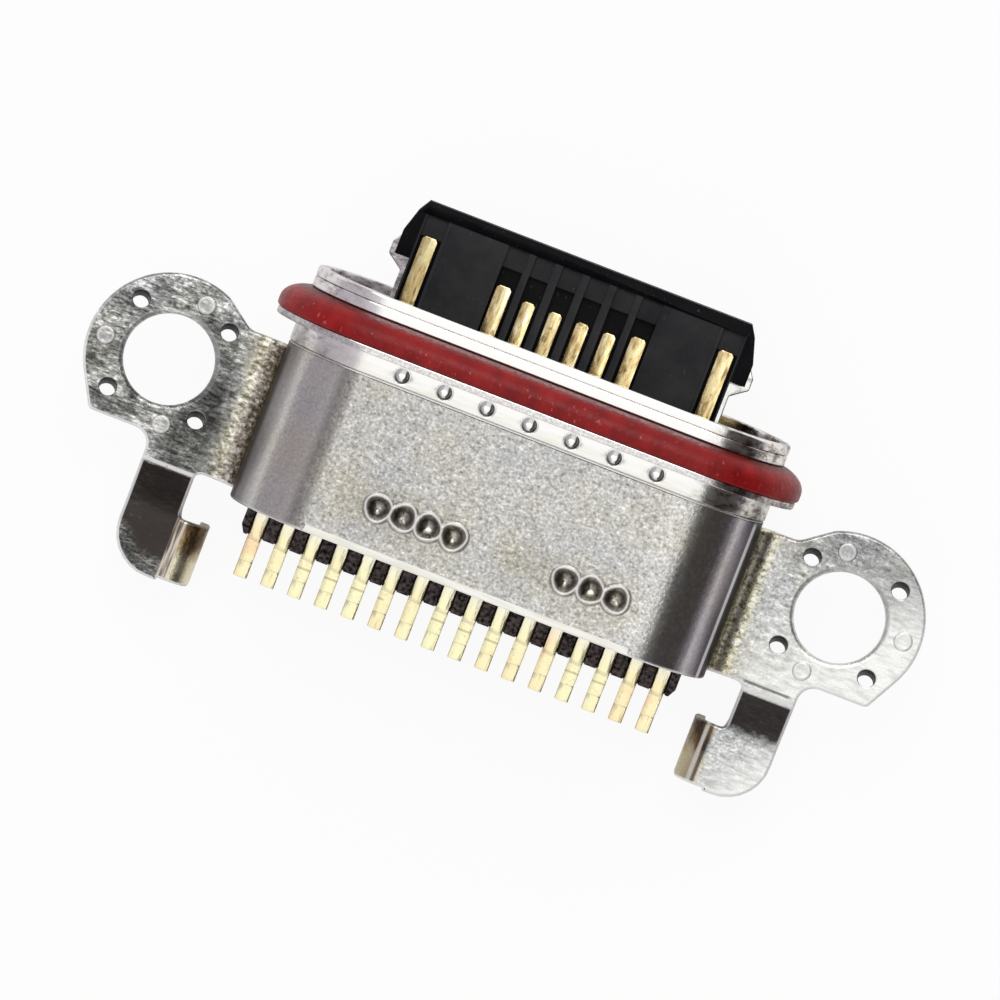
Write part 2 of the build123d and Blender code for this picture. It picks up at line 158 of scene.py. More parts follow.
def ramp_node(factor, *stops):
    """A Color Ramp through (place, colour) stops. Returns its colour."""
    node = new_node("ValToRGB", factor)
    ramp = node.color_ramp.elements
    while len(ramp) < len(stops):
        ramp.new(0.5)
    for element, (place, colour) in zip(ramp, stops):
        element.position = place
        element.color = (*as_colour(colour), 1)
    feed(factor, node.inputs[0])
    return node.outputs[0]


def mix_node(factor, first, second, kind="MIX"):
    """A colour Mix node. Returns its colour."""
    node = new_node("Mix", factor, first, second)
    node.data_type = "RGBA"
    node.blend_type = kind
    for place, value in ((0, factor), (6, first), (7, second)):
        feed(value, node.inputs[place])
    return node.outputs[2]


def mixed_shader(share, first, second):
    """A Mix Shader of two shader nodes. Returns its shader."""
    node = new_node("MixShader", share)
    for socket, value in zip(node.inputs, (share, first.outputs[0], second.outputs[0])):
        feed(value, socket)
    return node.outputs[0]


def axes_of(vector):
    """The outputs X, Y and Z of a vector."""
    node = new_node("SeparateXYZ", vector)
    feed(vector, node.inputs[0])
    return node.outputs


# %% [markdown]
# Steel shows its surroundings more than its own colour. The port stood under a wide soft source in a room
# that is bright in front of the tongue and behind the tails, with its brightest band low at the rear. It
# is grey at the picture's left and dark at its right, apart from one grey band near the horizon. Lamps
# with cards could build that room, but a world that is coloured by direction is smoother and needs no
# objects. The camera itself sees plain white.

# %% World
world = bpy.data.worlds.new("studio")
world.use_nodes = True
scene.world = world
tree = world.node_tree
tree.nodes.clear()
right, back, up = axes_of(tree.nodes.new("ShaderNodeTexCoord").outputs["Generated"])
height = math_node("MULTIPLY_ADD", up, 0.5, 0.5)
sky = ramp_node(height, (0.48, (0.62, 0.61, 0.61)), (0.58, (0.50, 0.49, 0.50)),
                (0.72, (0.60, 0.59, 0.60)), (0.88, (0.88, 0.88, 0.87)), (0.95, (1.0, 1.0, 0.99)),
                (1.0, (1.05, 1.04, 1.02)))
front_wall = ramp_node(height, (0.48, 0.85), (0.60, (0.95, 0.94, 0.92)), (0.95, (1.02, 1.0, 0.98)))
rear_wall = ramp_node(height, (0.48, (0.95, 0.94, 0.93)), (0.56, (1.10, 1.09, 1.07)),
                      (0.64, (1.10, 1.09, 1.07)), (0.69, (0.80, 0.79, 0.77)), (0.93, (0.86, 0.85, 0.84)))
grey_wall = ramp_node(height, (0.48, (0.56, 0.52, 0.56)), (0.60, (0.50, 0.465, 0.505)),
                      (0.82, (0.50, 0.465, 0.50)), (0.95, (0.60, 0.57, 0.60)))
dark_wall = ramp_node(height, (0.50, (0.28, 0.255, 0.29)), (0.55, (0.28, 0.255, 0.29)),
                      (0.60, (0.07, 0.065, 0.065)), (0.85, (0.05, 0.045, 0.045)),
                      (0.93, (0.12, 0.115, 0.11)))
for wall, side, start, full in ((front_wall, back, -0.25, -0.55), (rear_wall, back, 0.30, 0.50),
                                (grey_wall, right, 0.24, 0.40), (dark_wall, right, -0.38, -0.47)):
    sky = mix_node(range_node(side, start, full), sky, wall)
studio = tree.nodes.new("ShaderNodeBackground")
feed(sky, studio.inputs["Color"])
backdrop = tree.nodes.new("ShaderNodeBackground")
feed(1.0, backdrop.inputs["Color"])
seen = tree.nodes.new("ShaderNodeLightPath").outputs["Is Camera Ray"]
world_output = tree.nodes.new("ShaderNodeOutputWorld")
feed(mixed_shader(seen, studio, backdrop), world_output.inputs["Surface"])
print("the room takes", len(tree.nodes), "nodes")

# %% [markdown]
# The floor is a wide plane at the lowest point of the part. The camera and, in part, the steel see it
# white, as the photograph's background is, and for light it is an ordinary pale surface that keeps the
# soft shadow.

# %% Floor
floor_z = solid_box[0][2]
floor_half = 300 * MM
white_share = 0.92
white_in_steel = 0.35
floor_mesh = bpy.data.meshes.new("floor")
floor_corners = [(floor_half * x, floor_half * y, floor_z) for x, y in ((-1, -1), (1, -1), (1, 1), (-1, 1))]
floor_mesh.from_pydata(floor_corners, [], [(0, 1, 2, 3)])
floor = bpy.data.objects.new("floor", floor_mesh)
scene.collection.objects.link(floor)
paper = bpy.data.materials.new("white_paper")
paper.use_nodes = True
tree = paper.node_tree
paint = tree.nodes["Principled BSDF"]
feed(0.93, paint.inputs["Base Color"])
feed(0.9, paint.inputs["Roughness"])
glow = tree.nodes.new("ShaderNodeEmission")
rays = tree.nodes.new("ShaderNodeLightPath").outputs
seen = math_node("MAXIMUM", rays["Is Camera Ray"], rays["Is Transmission Ray"])
seen = math_node("MAXIMUM", seen, times(rays["Is Glossy Ray"], white_in_steel))
surface = mixed_shader(times(seen, white_share), paint, glow)
feed(surface, tree.nodes["Material Output"].inputs["Surface"])
floor_mesh.materials.append(paper)
print("floor at", round(floor_z / MM, 3), "mm")

# %% [markdown]
# The world lights the port from everywhere at once. One large, weak area lamp in front and above gives
# the shadow its direction and lifts the edges that face it. A sun would draw hard shadows that the
# photograph doesn't have.

# %% Lamp
lamp_data = bpy.data.lights.new("window", "AREA")
lamp_data.size = 110 * MM
lamp_data.energy = 0.09
window = bpy.data.objects.new("window", lamp_data)
window.location = Vector((25, -98, 118)) * MM
window.rotation_euler = (-window.location).to_track_quat("-Z", "Y").to_euler()
scene.collection.objects.link(window)
print("lamp", round(window.location.length / MM), "mm away")

# %% [markdown]
# A finish is a Principled shader with a few textures. Each texture reads the object's own coordinates, in
# millimetres, so a grain of 0.05 mm is written as 0.05 and stays on the part when the view changes. Image
# textures would need unwrapping and would show their seams on these small round parts.

# %% Finish helpers
def new_finish(name, colour, metallic, roughness):
    """A material with its average values. Returns it and its coordinates in millimetres."""
    finish = bpy.data.materials.new(name)
    finish.use_nodes = True
    tree = finish.node_tree
    shader = tree.nodes["Principled BSDF"]
    for socket, value in (("Base Color", colour), ("Metallic", metallic), ("Roughness", roughness)):
        feed(value, shader.inputs[socket])
    scaled = tree.nodes.new("ShaderNodeVectorMath")
    scaled.operation = "SCALE"
    scaled.inputs["Scale"].default_value = 1 / MM
    feed(tree.nodes.new("ShaderNodeTexCoord").outputs["Object"], scaled.inputs[0])
    return finish, scaled.outputs[0]


def end_finish(finish, relief, depth_mm, values):
    """Joins a relief of depth_mm and the values of the named inputs to the shader."""
    tree = finish.node_tree
    shader = tree.nodes["Principled BSDF"]
    bump = tree.nodes.new("ShaderNodeBump")
    bump.inputs["Distance"].default_value = depth_mm * MM
    feed(relief, bump.inputs["Height"])
    feed(bump.outputs[0], shader.inputs["Normal"])
    for socket, value in values.items():
        feed(value, shader.inputs[socket])
    print(finish.name, "takes", len(tree.nodes), "nodes")


def noise_node(place, grain_mm, detail=3, stretch=(1, 1, 1), roughness=0.55):
    """Noise with blotches about grain_mm across, stretched along each axis. Returns its value."""
    mapping = new_node("VectorMath", place)
    mapping.operation = "MULTIPLY"
    feed(place, mapping.inputs[0])
    mapping.inputs[1].default_value = [1 / factor for factor in stretch]
    node = new_node("TexNoise", place)
    feed(mapping.outputs[0], node.inputs["Vector"])
    for socket, value in (("Scale", 0.6 / grain_mm), ("Detail", detail), ("Roughness", roughness)):
        feed(value, node.inputs[socket])
    return node.outputs["Fac"]


def mark_node(place, name):
    """The value of a named mark that the mesh carries at its points, in the tree of place."""
    node = new_node("Attribute", place)
    node.attribute_name = name
    return node.outputs["Fac"]


def tinted(colour, *tints):
    """A colour multiplied by tints, each as far as its share between 0 and 1 says."""
    for share, tint in tints:
        colour = mix_node(share, colour, mix_node(1.0, colour, tint, "MULTIPLY"))
    return colour


# %% [markdown]
# Bracket steel: sheet that was nickel plated after tumbling. Its skin is a dense field of tiny dents,
# some bright and some dark, over broad stains. One material serves the whole folded sheet. Its colour is
# laid on in layers, and each has a share that says where it lies: by the height of a noise, or by its
# place on the part. These are the noises and the places that several layers use.

# %% Bracket steel
bracket_steel, place = new_finish("bracket_steel", (0.58, 0.56, 0.53), 1.0, 0.32)
along_x, along_y, along_z = axes_of(place)
outward = math_node("ABSOLUTE", along_x)
to_left = range_node(along_x, -1, 1)      # left and right as the picture shows them
to_right = range_node(along_x, 1, -1)
on_side = band(outward, 3.05, 3.35, 4.40, 4.42)
steep = times(on_side, range_node(outward, 4.02, 4.22))
grain = noise_node(place, 0.032, roughness=0.6)
coarse = noise_node(place, 0.085, 4, roughness=0.68)
mottle = noise_node(place, 0.05, 4, (1.7, 1, 1.7), roughness=0.7)

# %% [markdown]
# The wrap over the shell is speckled grey. Its round sides are smoother. Light and shade are painted over
# that grey: the top a little lighter toward the picture's right, the steep sides darker, most at the right,
# and upright bands as painted reflections, a dull one where the flat ends at the left, a bright one and,
# lower down, a darker strip on the right side, and a painted shadow line where each side meets the ear.
# Heat left a straw tint round the craters, and the walls of their bowls are darkened as painted shade.

# %% Bracket steel, the wrap's colour
stains = noise_node(place, 0.9)
colour = ramp_node(stains, (0.36, 0.52), (0.5, (0.57, 0.56, 0.535)), (0.64, (0.56, 0.54, 0.49)))
# painted shadow line where each round side meets the ear
shadow_line = times(band(outward, 4.30, 4.36, 4.42, 4.44), range_node(along_z, -0.3, -0.1),
                    range_node(along_y, -1.1, -1.0))
# painted reflection bands on the round sides: a dull one at the left, a bright one and a dark strip at the
# right
painted_dull_band = band(along_x, 3.00, 3.14, 3.28, 3.42)
painted_bright_band = band(along_x, -3.80, -3.55, -3.1, -2.6)
painted_dark_strip = times(on_side, range_node(along_x, -3.75, -3.90))
# painted light and shade: the top lighter toward the picture's right, the steep sides darker, most at the
# right
colour = tinted(colour, (range_node(along_x, 3.0, -3.0), (1.10, 1.11, 1.12)),
                (steep, (0.66, 0.63, 0.66)), (times(steep, to_right), (0.55, 0.53, 0.57)),
                (painted_dark_strip, (0.82, 0.79, 0.84)), (shadow_line, (0.16, 0.14, 0.12)),
                (painted_dull_band, (0.60, 0.59, 0.59)), (painted_bright_band, 1.22))
dents = ramp_node(grain, (0.30, (0.50, 0.49, 0.48)), (0.44, (0.87, 0.87, 0.86)), (0.54, 1.0),
                  (0.66, (1.40, 1.41, 1.42)))
flecks = ramp_node(noise_node(place, 0.05, 2, (1.6, 1, 1), roughness=0.5),
                   (0.30, (0.66, 0.65, 0.64)), (0.42, 1.0), (0.62, 1.0), (0.72, 1.4))
crater_y = 0.97
crater_off = math_node("ABSOLUTE", math_node("SUBTRACT", along_y, crater_y))
crater_off = math_node("MULTIPLY_ADD", coarse, 0.35, crater_off)
heated = times(range_node(crater_off, 0.75, 0.35), band(outward, 0.1, 0.5, 2.5, 3.0), 0.55)
# The last of these tints darkens the crater walls and a line round each ring as painted shade.
colour = tinted(colour, (between(on_side, 1.0, 0.35), dents),
                (between(on_side, 1.0, 0.2), flecks), (heated, (0.82, 0.77, 0.62)),
                (mark_node(place, "painted_shade"), (0.20, 0.18, 0.16)))

# %% [markdown]
# The ears were handled more than the top. The one at the picture's left is blotched, with painted shade on
# its inner part beside the wrap, deepest toward the rear. The other is striped by the press, greyer at its
# front and nearly white toward its rear corner. Between wrap and ear runs a bend, speckled straw and
# olive, with painted shade that darkens it toward the wrap.

# %% Bracket steel, the ears
on_left_ear = range_node(math_node("MULTIPLY_ADD", coarse, 0.5, along_x), 4.95, 5.45)
blotches = ramp_node(noise_node(place, 0.030, 4, (3.2, 1, 3.2), roughness=0.7),
                     (0.34, (0.12, 0.125, 0.125)), (0.44, (0.36, 0.37, 0.375)), (0.54, (0.68, 0.70, 0.71)),
                     (0.62, (1.2, 1.22, 1.24)), (0.70, (1.9, 1.92, 1.95)))
patches = ramp_node(noise_node(place, 0.28, 3, (1.7, 1, 1)), (0.38, (0.45, 0.46, 0.46)),
                    (0.5, (0.95, 0.97, 0.98)), (0.62, (1.55, 1.56, 1.60)))
# painted shade on the left ear beside the wrap, deepest toward the rear
neck_shade = times(on_left_ear, range_node(along_x, 6.0, 5.6),
                  range_node(along_y, -1.2, -0.1, 0.0, 0.85))
on_right_ear = range_node(along_x, -4.85, -5.15)
stripes = noise_node(place, 0.040, 4, (4.0, 1, 4.0), roughness=0.6)
press_marks = ramp_node(stripes, (0.30, (0.45, 0.46, 0.47)), (0.45, (0.85, 0.87, 0.88)),
                        (0.56, (1.08, 1.10, 1.11)), (0.68, (1.5, 1.52, 1.53)))
colour = tinted(colour, (on_left_ear, blotches), (on_left_ear, patches), (neck_shade, 0.22),
                (on_right_ear, press_marks))
to_corner = math_node("SUBTRACT", along_y, along_x)
near_corner = times(range_node(to_corner, 5.2, 7.6), range_node(along_y, 2.0, 1.6))
whiter = math_node("MAXIMUM", near_corner, range_node(to_corner, 7.9, 9.3))
near_white = ramp_node(stripes, (0.36, (0.74, 0.75, 0.73)), (0.5, (0.88, 0.89, 0.87)),
                       (0.62, (0.95, 0.96, 0.94)))
colour = mix_node(times(on_right_ear, whiter), colour, near_white)

# %% Bracket steel, the bends
in_bend = times(range_node(outward, 4.38, 4.42), range_node(along_y, 2.3, 2.2))
bend_edge = math_node("MULTIPLY_ADD", mottle, 0.4, outward)
speckled = mix_node(to_left, range_node(bend_edge, 5.05, 4.90),
                    range_node(bend_edge, 5.22, 5.05))
speckle = ramp_node(mottle, (0.38, (0.45, 0.42, 0.33)), (0.48, (1.0, 0.97, 0.84)),
                    (0.56, (1.5, 1.48, 1.32)), (0.64, (2.2, 2.18, 2.0)))
# painted shade in the bend, darkening it toward the wrap
deep = mix_node(to_left, range_node(bend_edge, 4.76, 4.60, 0.0, 0.42),
                range_node(bend_edge, 4.86, 4.64))
olive = times(range_node(along_x, -4.85, -4.65), to_right)
colour = tinted(colour, (times(on_right_ear, range_node(along_y, -0.1, -1.0)), 0.66),
                (times(in_bend, speckled), speckle), (times(in_bend, deep), (0.30, 0.25, 0.19)),
                (times(in_bend, olive), (1.35, 1.32, 1.12)))

# %% [markdown]
# The slanted part of each leg is painted nearly black as a dark reflection. At the left that painted dark
# runs on over the foot, whose inner edge keeps a strip of bare rolled steel. A thin painted shade line
# lies before the heel of the right leg. The turned-down tabs are tarnished gold and brown, with a painted
# shade line and a painted highlight along the fold of the right tab.

# %% Bracket steel, the legs
heel = math_node("MULTIPLY_ADD", coarse, 0.36, along_y)
left_end = range_node(along_x, 5.5, 6.0, 3.42, 2.97)
on_left_leg = times(range_node(math_node("SUBTRACT", heel, left_end), 0.25, 0.05),
                    range_node(along_x, 4.9, 5.0))
on_right_leg = times(range_node(heel, 2.86, 2.62), range_node(along_x, -4.9, -5.0))
on_leg = math_node("MAXIMUM", on_right_leg, on_left_leg)
on_leg = times(on_leg, range_node(along_y, 1.79, 1.83))
# painted dark reflection on the slanted legs, running on over the left foot
painted_dark_reflection = mix_node(range_node(along_y, 2.35, 2.65), (0.022, 0.018, 0.017),
                     (0.048, 0.041, 0.039))
painted_dark_reflection = tinted(painted_dark_reflection, (range_node(mottle, 0.60, 0.68), 1.7))
colour = mix_node(times(on_leg, 0.97), colour, painted_dark_reflection)
# a painted shade line just before the bend of the right leg
heel_shade_line = times(band(along_y, 1.59, 1.61, 1.64, 1.66),
               band(along_x, -6.0, -5.9, -5.12, -5.05))
colour = tinted(colour, (heel_shade_line, (0.30, 0.30, 0.29)))
bare_strip = times(range_node(along_y, 2.54, 2.58), band(along_x, 4.92, 4.94, 5.11, 5.13))
rolled_steel = ramp_node(noise_node(place, 0.03, 2, (1, 14, 1)), (0.38, (0.12, 0.09, 0.07)),
                         (0.50, (0.34, 0.29, 0.25)), (0.60, (0.62, 0.56, 0.50)))
colour = mix_node(bare_strip, colour, rolled_steel)

# %% Bracket steel, the tabs
on_tab = times(range_node(along_y, 2.5, 2.56), range_node(outward, 4.97, 4.90), 0.92)
tarnish = ramp_node(noise_node(place, 0.11, 4, (1, 3.0, 1.6)), (0.38, (0.10, 0.065, 0.04)),
                    (0.47, (0.42, 0.29, 0.14)), (0.54, (0.80, 0.66, 0.36)), (0.62, (1.0, 0.97, 0.84)))
tarnish = mix_node(range_node(along_y, 3.05, 3.25, 0.0, 0.85), tarnish, (1.0, 0.95, 0.68))
# painted shade line and painted highlight along the fold of the right tab
fold_shade = band(along_x, -4.92, -4.90, -4.855, -4.84)
fold_highlight = band(along_x, -4.84, -4.82, -4.77, -4.75)
tarnish = tinted(tarnish, (times(to_right, 0.8), (0.55, 0.50, 0.42)),
                 (fold_shade, (0.25, 0.22, 0.26)))
tarnish = mix_node(fold_highlight, tarnish, (0.90, 0.90, 0.78))
browned = times(range_node(along_x, -4.78, -4.76), range_node(along_y, 3.15, 2.95))
tarnish = tinted(tarnish, (browned, (0.42, 0.34, 0.24)))
colour = mix_node(on_tab, colour, tarnish)

# %% [markdown]
# Rolled edges, the line across each heel, the raised crater rings and the rims of the discs get a painted
# highlight, and so does a glint low on the right round side. The mesh carries the edges as a mark named
# edge. The walls of the small holes carry a second mark, and the finish paints them near black as painted
# shade. Highlighted places are made less metallic, so that they stay pale under a dark reflection. Last
# come the gloss and the relief.

# %% Bracket steel, its edges and relief
# painted highlights: a line across each heel, and a glint low on the right round side
heel_highlight = times(band(along_y, 1.70, 1.73, 1.775, 1.80), range_node(outward, 5.0, 5.1),
                  range_node(mottle, 0.32, 0.42))
painted_highlight = math_node("MAXIMUM", mark_node(place, "edge"), heel_highlight)
glint = times(band(along_x, -4.315, -4.30, -4.265, -4.25), range_node(along_y, -1.1, -1.0),
              range_node(along_z, 0.2, 0.3))
painted_highlight = math_node("MAXIMUM", times(painted_highlight, between(on_side, 1.0, 0.25)), glint)
colour = mix_node(times(painted_highlight, 0.9), colour, (0.95, 0.95, 0.94))
# the walls of the small holes are painted near black as shade
colour = mix_node(mark_node(place, "hole_shade"), colour, (0.045, 0.04, 0.04))
gloss = times(range_node(coarse, 0.3, 0.7, 0.22, 0.38), between(on_side, 1.0, 0.62),
              between(on_leg, 1.0, 0.7))
gloss = math_node("MULTIPLY_ADD", math_node("MAXIMUM", painted_highlight, steep), 0.25, gloss)
on_ears = times(range_node(outward, 4.6, 5.0), range_node(on_leg, 0.6, 0.0))
relief = times(mottle, between(on_ears, 0.20, 0.6))
relief = math_node("MULTIPLY_ADD", grain, between(on_side, 0.5, 0.1), relief)
end_finish(bracket_steel, relief, 0.012,
           {"Base Color": colour, "Metallic": between(painted_highlight, 1.0, 0.25), "Roughness": gloss})

# %% [markdown]
# Shell steel: brighter than the bracket, because it was drawn and polished. Drawing left fine lines along
# the part, straw coloured on the neck. The round ends carry water spots, brown at the right and pale at
# the left. Inside the mouth at the left, a pale mottled colour that is less metallic is painted light. The
# rear of each weld bead is darkened as painted shade, by a mark that the shell's points carry.

# %% Shell steel
shell_steel, place = new_finish("shell_steel", (0.88, 0.87, 0.84), 1.0, 0.16)
along_x, along_y, along_z = axes_of(place)
outward = math_node("ABSOLUTE", along_x)
centre_half = 2.90                     # from the middle to the centre of each round end
sideways = range_node(outward, centre_half, centre_half + 2, 0.0, 2.0)
from_axis = math_node("ADD", math_node("POWER", along_z, 2.0), math_node("POWER", sideways, 2.0))
from_axis = math_node("SQRT", from_axis)
lines = noise_node(place, 0.05, 3, (9, 1, 9))
spots = noise_node(place, 0.085, 5, (1.8, 1, 1.8), roughness=0.65)
grain = noise_node(place, 0.03)
polish = ramp_node(lines, (0.36, (0.95, 0.945, 0.93)), (0.5, (0.965, 0.96, 0.955)),
                   (0.66, (0.98, 0.98, 0.975)))
straw = ramp_node(lines, (0.36, (0.80, 0.78, 0.71)), (0.5, (0.86, 0.85, 0.80)),
                  (0.66, (0.92, 0.92, 0.89)))
on_neck = times(range_node(along_y, -1.52, -1.48),
                range_node(along_y, -1.40, -1.14, 0.1, 1.0))
brown_spots = ramp_node(spots, (0.40, (0.20, 0.15, 0.11)), (0.49, (0.75, 0.71, 0.66)), (0.58, 1.0))
pale_spots = ramp_node(spots, (0.38, (0.44, 0.41, 0.41)), (0.48, (0.76, 0.73, 0.74)),
                       (0.58, (0.86, 0.84, 0.85)))
on_flange = times(band(along_y, -1.64, -1.60, -1.50, -1.47),
                  range_node(from_axis, 1.75, 1.80))
satin = ramp_node(grain, (0.34, (0.62, 0.60, 0.61)), (0.50, (0.76, 0.74, 0.75)),
                  (0.64, (0.92, 0.91, 0.90)))
colour = tinted(mix_node(on_neck, polish, straw),
                (range_node(along_x, -2.9, -3.5, 0.0, 0.9), brown_spots),
                (range_node(along_x, 3.1, 3.9, 0.0, 0.85), pale_spots), (on_flange, satin))
# painted shade at the rear of each weld bead, from the mark on the points
colour = mix_node(mark_node(place, "painted_shade"), colour, (0.045, 0.042, 0.04))
# Inside the mouth at the left, a pale mottled, less metallic colour is painted light.
inside = times(range_node(from_axis, 1.31, 1.29), range_node(along_y, -0.4, -0.8),
               range_node(along_x, 2.0, 2.6))
painted_lit_inside = ramp_node(spots, (0.38, (0.22, 0.20, 0.21)), (0.48, (0.52, 0.48, 0.51)),
                    (0.58, (0.85, 0.82, 0.85)))
gloss = math_node("ADD", range_node(lines, 0.3, 0.7, 0.12, 0.20),
                  range_node(outward, 3.9, 4.2, 0.0, 0.2))
end_finish(shell_steel, grain, 0.0018, {"Base Color": mix_node(inside, colour, painted_lit_inside),
                                        "Metallic": between(inside, 1.0, 0.3), "Roughness": gloss})

# %% [markdown]
# Red silicone: translucent deep red with a soft gloss. Painted shade darkens it to brown along its front
# edge, where it meets the shell. Dust and tiny pores scatter pink specks over it, most of them along the
# middle of the ring.

# %% Red silicone
red_silicone, place = new_finish("red_silicone", (0.32, 0.010, 0.011), 0.0, 0.36)
along_y = axes_of(place)["Y"]
pores = noise_node(place, 0.05)
cloud = noise_node(place, 0.30, 3, (0.6, 1, 1))
dust = noise_node(place, 0.045, 2, (1, 1.8, 1), roughness=0.4)
colour = ramp_node(cloud, (0.32, (0.19, 0.005, 0.007)), (0.5, (0.25, 0.007, 0.008)),
                   (0.68, (0.31, 0.011, 0.011)))
seal_middle_y = -1.80
off_middle = math_node("ABSOLUTE", math_node("SUBTRACT", along_y, seal_middle_y))
dusty = math_node("SUBTRACT", dust, range_node(off_middle, 0.03, 0.25, 0.0, 0.09))
colour = mix_node(range_node(dusty, 0.64, 0.74, 0.0, 0.6), colour, (0.60, 0.16, 0.15))
# painted shade along the seal's front edge, where it meets the shell
colour = mix_node(range_node(along_y, -2.04, -2.11, 0.0, 0.85), colour, (0.06, 0.006, 0.004))
end_finish(red_silicone, pores, 0.010,
           {"Base Color": colour, "Roughness": range_node(pores, 0.3, 0.7, 0.28, 0.46),
            "Specular IOR Level": 0.20, "Subsurface Weight": 0.08, "Subsurface Scale": 0.15 * MM,
            "Subsurface Radius": (1.0, 0.2, 0.1)})

# %% [markdown]
# Black moulding: glass filled plastic. Its skin is nearly smooth, and fine pale fibres show here and
# there. The bed between the contacts has a faint blue grey haze, and the teeth of the comb carry a
# brownish painted sheen in blotches.

# %% Black moulding
black_moulding, place = new_finish("black_moulding", (0.008, 0.008, 0.009), 0.0, 0.42)
along_x, along_y, along_z = axes_of(place)
outward = math_node("ABSOLUTE", along_x)
pores = noise_node(place, 0.04)
haze = noise_node(place, 0.45)
fibres = noise_node(place, 0.03, 2, (1, 3, 1), roughness=0.3)
skin = ramp_node(haze, (0.35, (0.003, 0.003, 0.004)), (0.65, (0.006, 0.006, 0.007)))
bed = ramp_node(haze, (0.35, (0.023, 0.0235, 0.0255)), (0.65, (0.036, 0.0365, 0.0385)))
on_bed = times(band(along_y, -4.03, -4.01, -0.3, -0.1), range_node(outward, 3.0, 2.96),
               range_node(along_z, 0.20, 0.31))
# a brownish painted sheen in blotches on the teeth of the comb
comb_sheen = times(range_node(along_y, 1.84, 1.88), range_node(pores, 0.36, 0.62))
colour = mix_node(on_bed, skin, bed)
colour = mix_node(comb_sheen, colour, (0.17, 0.135, 0.13))
colour = mix_node(range_node(fibres, 0.70, 0.80, 0.0, 0.5), colour, (0.08, 0.08, 0.085))
end_finish(black_moulding, pores, 0.005,
           {"Base Color": colour, "Roughness": range_node(pores, 0.3, 0.7, 0.36, 0.52),
            "Specular IOR Level": 0.05})

# %% [markdown]
# Contact gold: a thin pale plating over nickel. The springs of a plug rub it thin in small olive and
# brown patches, and painted shade makes it browner toward the root of the tongue. The tails are cream,
# whiter where they leave the comb, and some have a painted brown shade line across their slope.

# %% Contact gold
contact_gold, place = new_finish("contact_gold", (0.90, 0.76, 0.46), 1.0, 0.26)
along_x, along_y = axes_of(place)[:2]
wear = noise_node(place, 0.045, 3, (1, 5, 1))
blots = noise_node(place, 0.08, 3, (1, 1.5, 1))
blush = noise_node(place, 0.55, 1, (1, 6, 1))
plating = ramp_node(wear, (0.32, (0.30, 0.21, 0.10)), (0.44, (0.66, 0.52, 0.26)),
                    (0.54, (0.82, 0.69, 0.39)), (0.66, (1.0, 0.93, 0.64)))
worn = times(range_node(along_x, 2.55, 2.65), range_node(along_y, -1.0, -1.2))
plating = tinted(plating, (range_node(blots, 0.42, 0.34, 0.0, 0.75), (0.34, 0.31, 0.22)),
                 # painted shade, browner toward the root of the tongue
                 (range_node(along_y, -3.2, -1.9, 0.0, 0.8), (0.62, 0.52, 0.40)),
                 (worn, (0.66, 0.64, 0.58)))
cream = ramp_node(blush, (0.38, (1.0, 0.76, 0.48)), (0.44, (1.0, 0.90, 0.56)),
                  (0.64, (1.0, 0.96, 0.62)))
cream = mix_node(range_node(along_y, 2.25, 1.95, 0.0, 0.6), cream, (0.97, 0.97, 0.93))
kink_y = 2.60
# painted shade line across the slope of some tails
kink_shade = math_node("ABSOLUTE", math_node("SUBTRACT", along_y, kink_y))
kink_shade = times(range_node(kink_shade, 0.030, 0.012), range_node(blush, 0.52, 0.55, 0.0, 0.6))
cream = tinted(cream, (kink_shade, (0.45, 0.36, 0.24)),
               (range_node(wear, 0.38, 0.30, 0.0, 0.5), (0.70, 0.62, 0.45)))
on_tail = range_node(along_y, 1.70, 1.90)
on_slope = band(along_y, 2.34, 2.42, 2.85, 2.93)
smoother = times(on_tail, between(on_slope, -0.08, -0.10))
gloss = math_node("ADD", range_node(wear, 0.3, 0.7, 0.34, 0.18), smoother)
end_finish(contact_gold, wear, 0.006,
           {"Base Color": mix_node(on_tail, plating, cream),
            "Metallic": between(on_slope, 1.0, 0.9), "Roughness": gloss})

# %% [markdown]
# Potting: black epoxy that was poured in the rear of the shell and settled to a soft, slightly wavy
# gloss.

# %% Potting
potting, place = new_finish("potting", 0.010, 0.0, 0.28)
waves = noise_node(place, 0.35, 2)
end_finish(potting, waves, 0.02,
           {"Base Color": ramp_node(waves, (0.35, 0.007), (0.65, (0.015, 0.014, 0.013))),
            "Roughness": range_node(noise_node(place, 0.06), 0.3, 0.7, 0.20, 0.36)})


# %% [markdown]
# Every outline and section below starts as a short list of corners, each with its own rounding radius, as
# it would stand on a drawing. One helper turns such a list into points. Drawing the corners by hand in
# the viewport would do too, but then no number would say what the radius is. The other helpers join rings
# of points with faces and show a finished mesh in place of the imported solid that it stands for.

# %% Outlines, rings and pieces
def rounded(corners, arc_step=15):
    """Points of a closed outline in millimetres from its corners, each (x, y, radius)."""
    points = []
    for index, (x, y, radius) in enumerate(corners):
        here = Vector((x, y))
        if radius == 0:
            points.append(here)
            continue
        back = (Vector(corners[index - 1][:2]) - here).normalized()
        ahead = (Vector(corners[(index + 1) % len(corners)][:2]) - here).normalized()
        half = back.angle(ahead) / 2
        centre = here + (back + ahead).normalized() * radius / sin(half)
        first = here + back * radius / tan(half) - centre
        last = here + ahead * radius / tan(half) - centre
        start = atan2(first.y, first.x)
        turn = (atan2(last.y, last.x) - start + pi) % (2 * pi) - pi
        steps = max(2, round(abs(turn) / radians(arc_step)))
        for step in range(steps + 1):
            angle = start + turn * step / steps
            points.append(centre + Vector((cos(angle), sin(angle))) * radius)
    return points


def join_rings(work, rings):
    """Faces between each closed ring of points and the next."""
    for near, far in zip(rings, rings[1:]):
        for index in range(len(near)):
            work.faces.new((near[index - 1], near[index], far[index], far[index - 1]))


